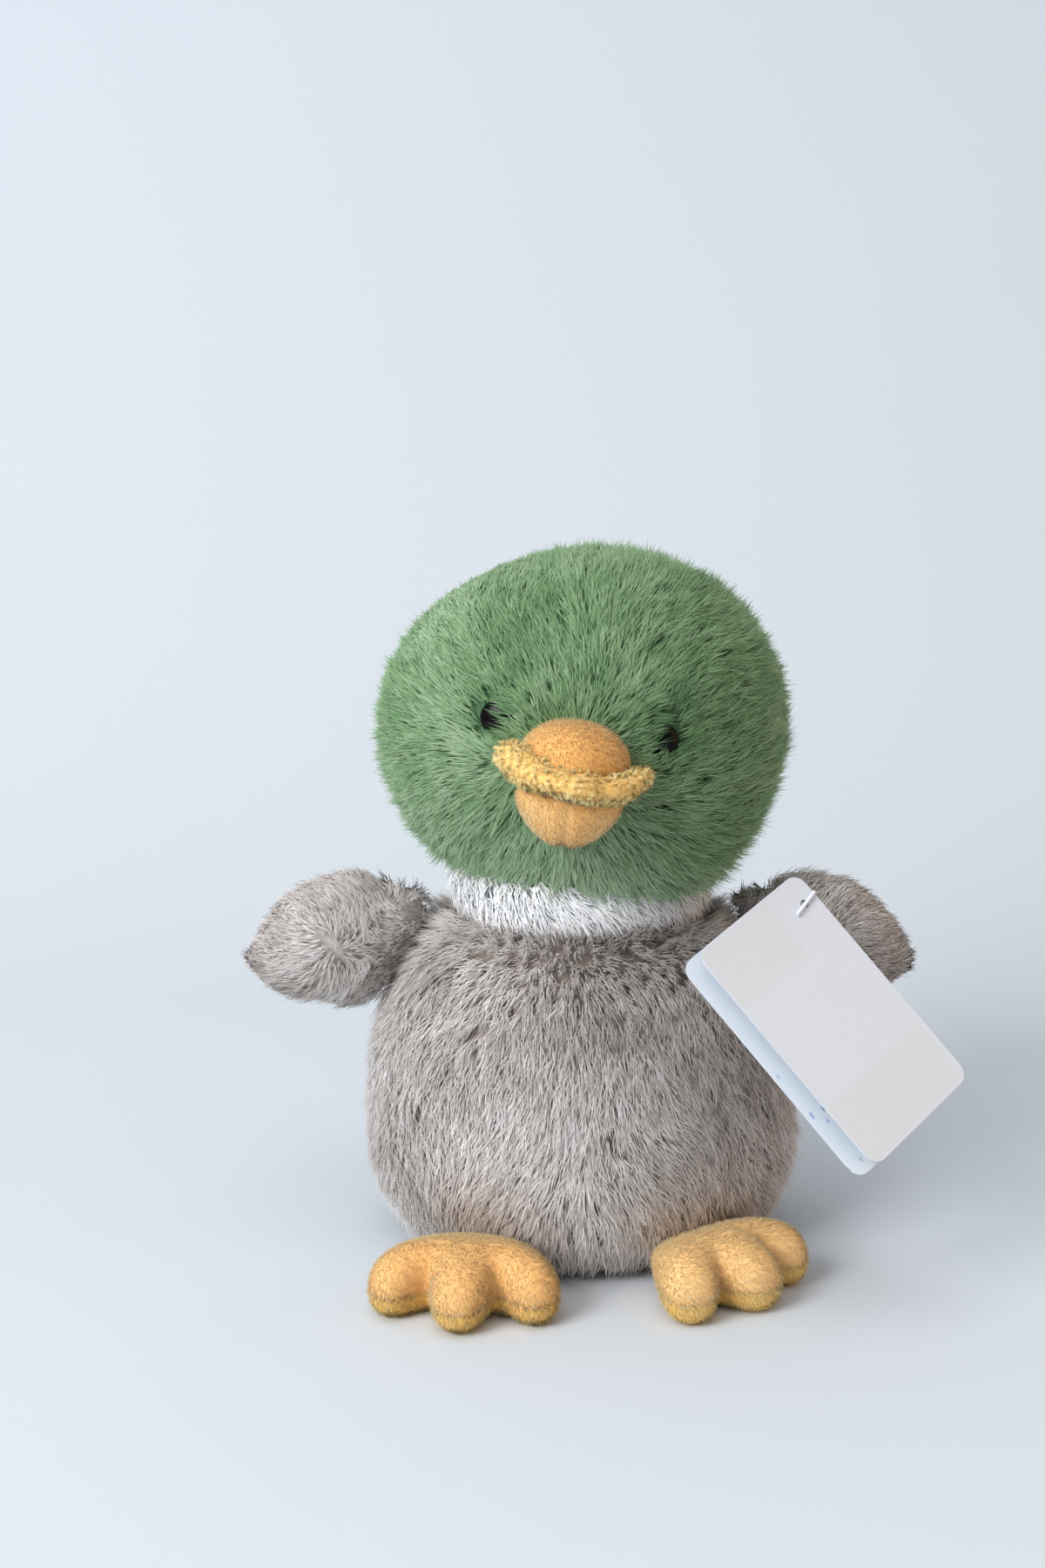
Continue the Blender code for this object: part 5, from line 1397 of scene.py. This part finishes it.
class PLUSHDUCK_OT_plain_pieces(bpy.types.Operator):
    """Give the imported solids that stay, inside and out, their own finishes"""

    bl_idname = "plushduck.plain_pieces"
    bl_label = "Card, fastener and insides"

    def execute(self, context):
        fibre = cloudy_solid("Polyester fibre filling", "f5f3ec", 0.8, 2.0, 1.0)
        cotton = cloudy_solid("Plain woven cotton", "e6e3da", 0.85, 0.9, 0.9)
        pellets = cloudy_solid("Polyethylene pellets", "e0e3e6", 0.7, 3.0, 0.5, 0.0008)
        washer = cloudy_solid("Moulded polypropylene", "ededea", 0.93, 1.6, 0.45, 0.00005)
        finishes = {
            "pellet_pouch": cotton,
            "pellet_fill": pellets,
            "eye_washer_left": washer,
            "eye_washer_right": washer,
            "tag_front_leaf": coated_card("Coated paperboard", False),
            "tag_back_leaf": coated_card("Printed paperboard", True),
            "tag_fastener": moulded_nylon(),
        }
        for name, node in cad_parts.items():
            material = fibre if name.endswith("filling") else finishes.get(name)
            if material:
                node.data.materials.clear()
                node.data.materials.append(material)
        return {"FINISHED"}


OPERATORS = (
    PLUSHDUCK_OT_studio,
    PLUSHDUCK_OT_body,
    PLUSHDUCK_OT_head,
    PLUSHDUCK_OT_neck_band,
    PLUSHDUCK_OT_eyes,
    PLUSHDUCK_OT_beak,
    PLUSHDUCK_OT_wings,
    PLUSHDUCK_OT_tail,
    PLUSHDUCK_OT_feet,
    PLUSHDUCK_OT_plain_pieces,
)


class PLUSHDUCK_PT_panel(bpy.types.Panel):
    """Lists the duck's sizes, colours and building steps"""

    bl_label = "Plush duck"
    bl_idname = "PLUSHDUCK_PT_panel"
    bl_space_type = "VIEW_3D"
    bl_region_type = "UI"
    bl_category = "Plush duck"

    def draw(self, context):
        for settings in (context.scene.duck_sizes, context.scene.duck_colours):
            column = self.layout.column(align=True)
            for name in settings.__annotations__:
                column.prop(settings, name)
        column = self.layout.column(align=True)
        for operator in OPERATORS:
            column.operator(operator.bl_idname)


CLASSES = (DuckSizes, DuckColours, *OPERATORS, PLUSHDUCK_PT_panel)


def register():
    """Adds the duck's classes and settings."""
    for kind in CLASSES:
        bpy.utils.register_class(kind)
    bpy.types.Scene.duck_sizes = bpy.props.PointerProperty(type=DuckSizes)
    bpy.types.Scene.duck_colours = bpy.props.PointerProperty(type=DuckColours)


def unregister():
    """Takes the duck's classes and settings away again."""
    del bpy.types.Scene.duck_colours
    del bpy.types.Scene.duck_sizes
    for kind in reversed(CLASSES):
        bpy.utils.unregister_class(kind)


def main():
    """Builds the duck in order."""
    register()
    bpy.ops.plushduck.studio()
    bpy.ops.plushduck.body()
    bpy.ops.plushduck.head()
    bpy.ops.plushduck.neck_band()
    bpy.ops.plushduck.eyes()
    bpy.ops.plushduck.beak()
    bpy.ops.plushduck.wings()
    bpy.ops.plushduck.tail()
    bpy.ops.plushduck.feet()
    bpy.ops.plushduck.plain_pieces()


if __name__ == "__main__":
    main()
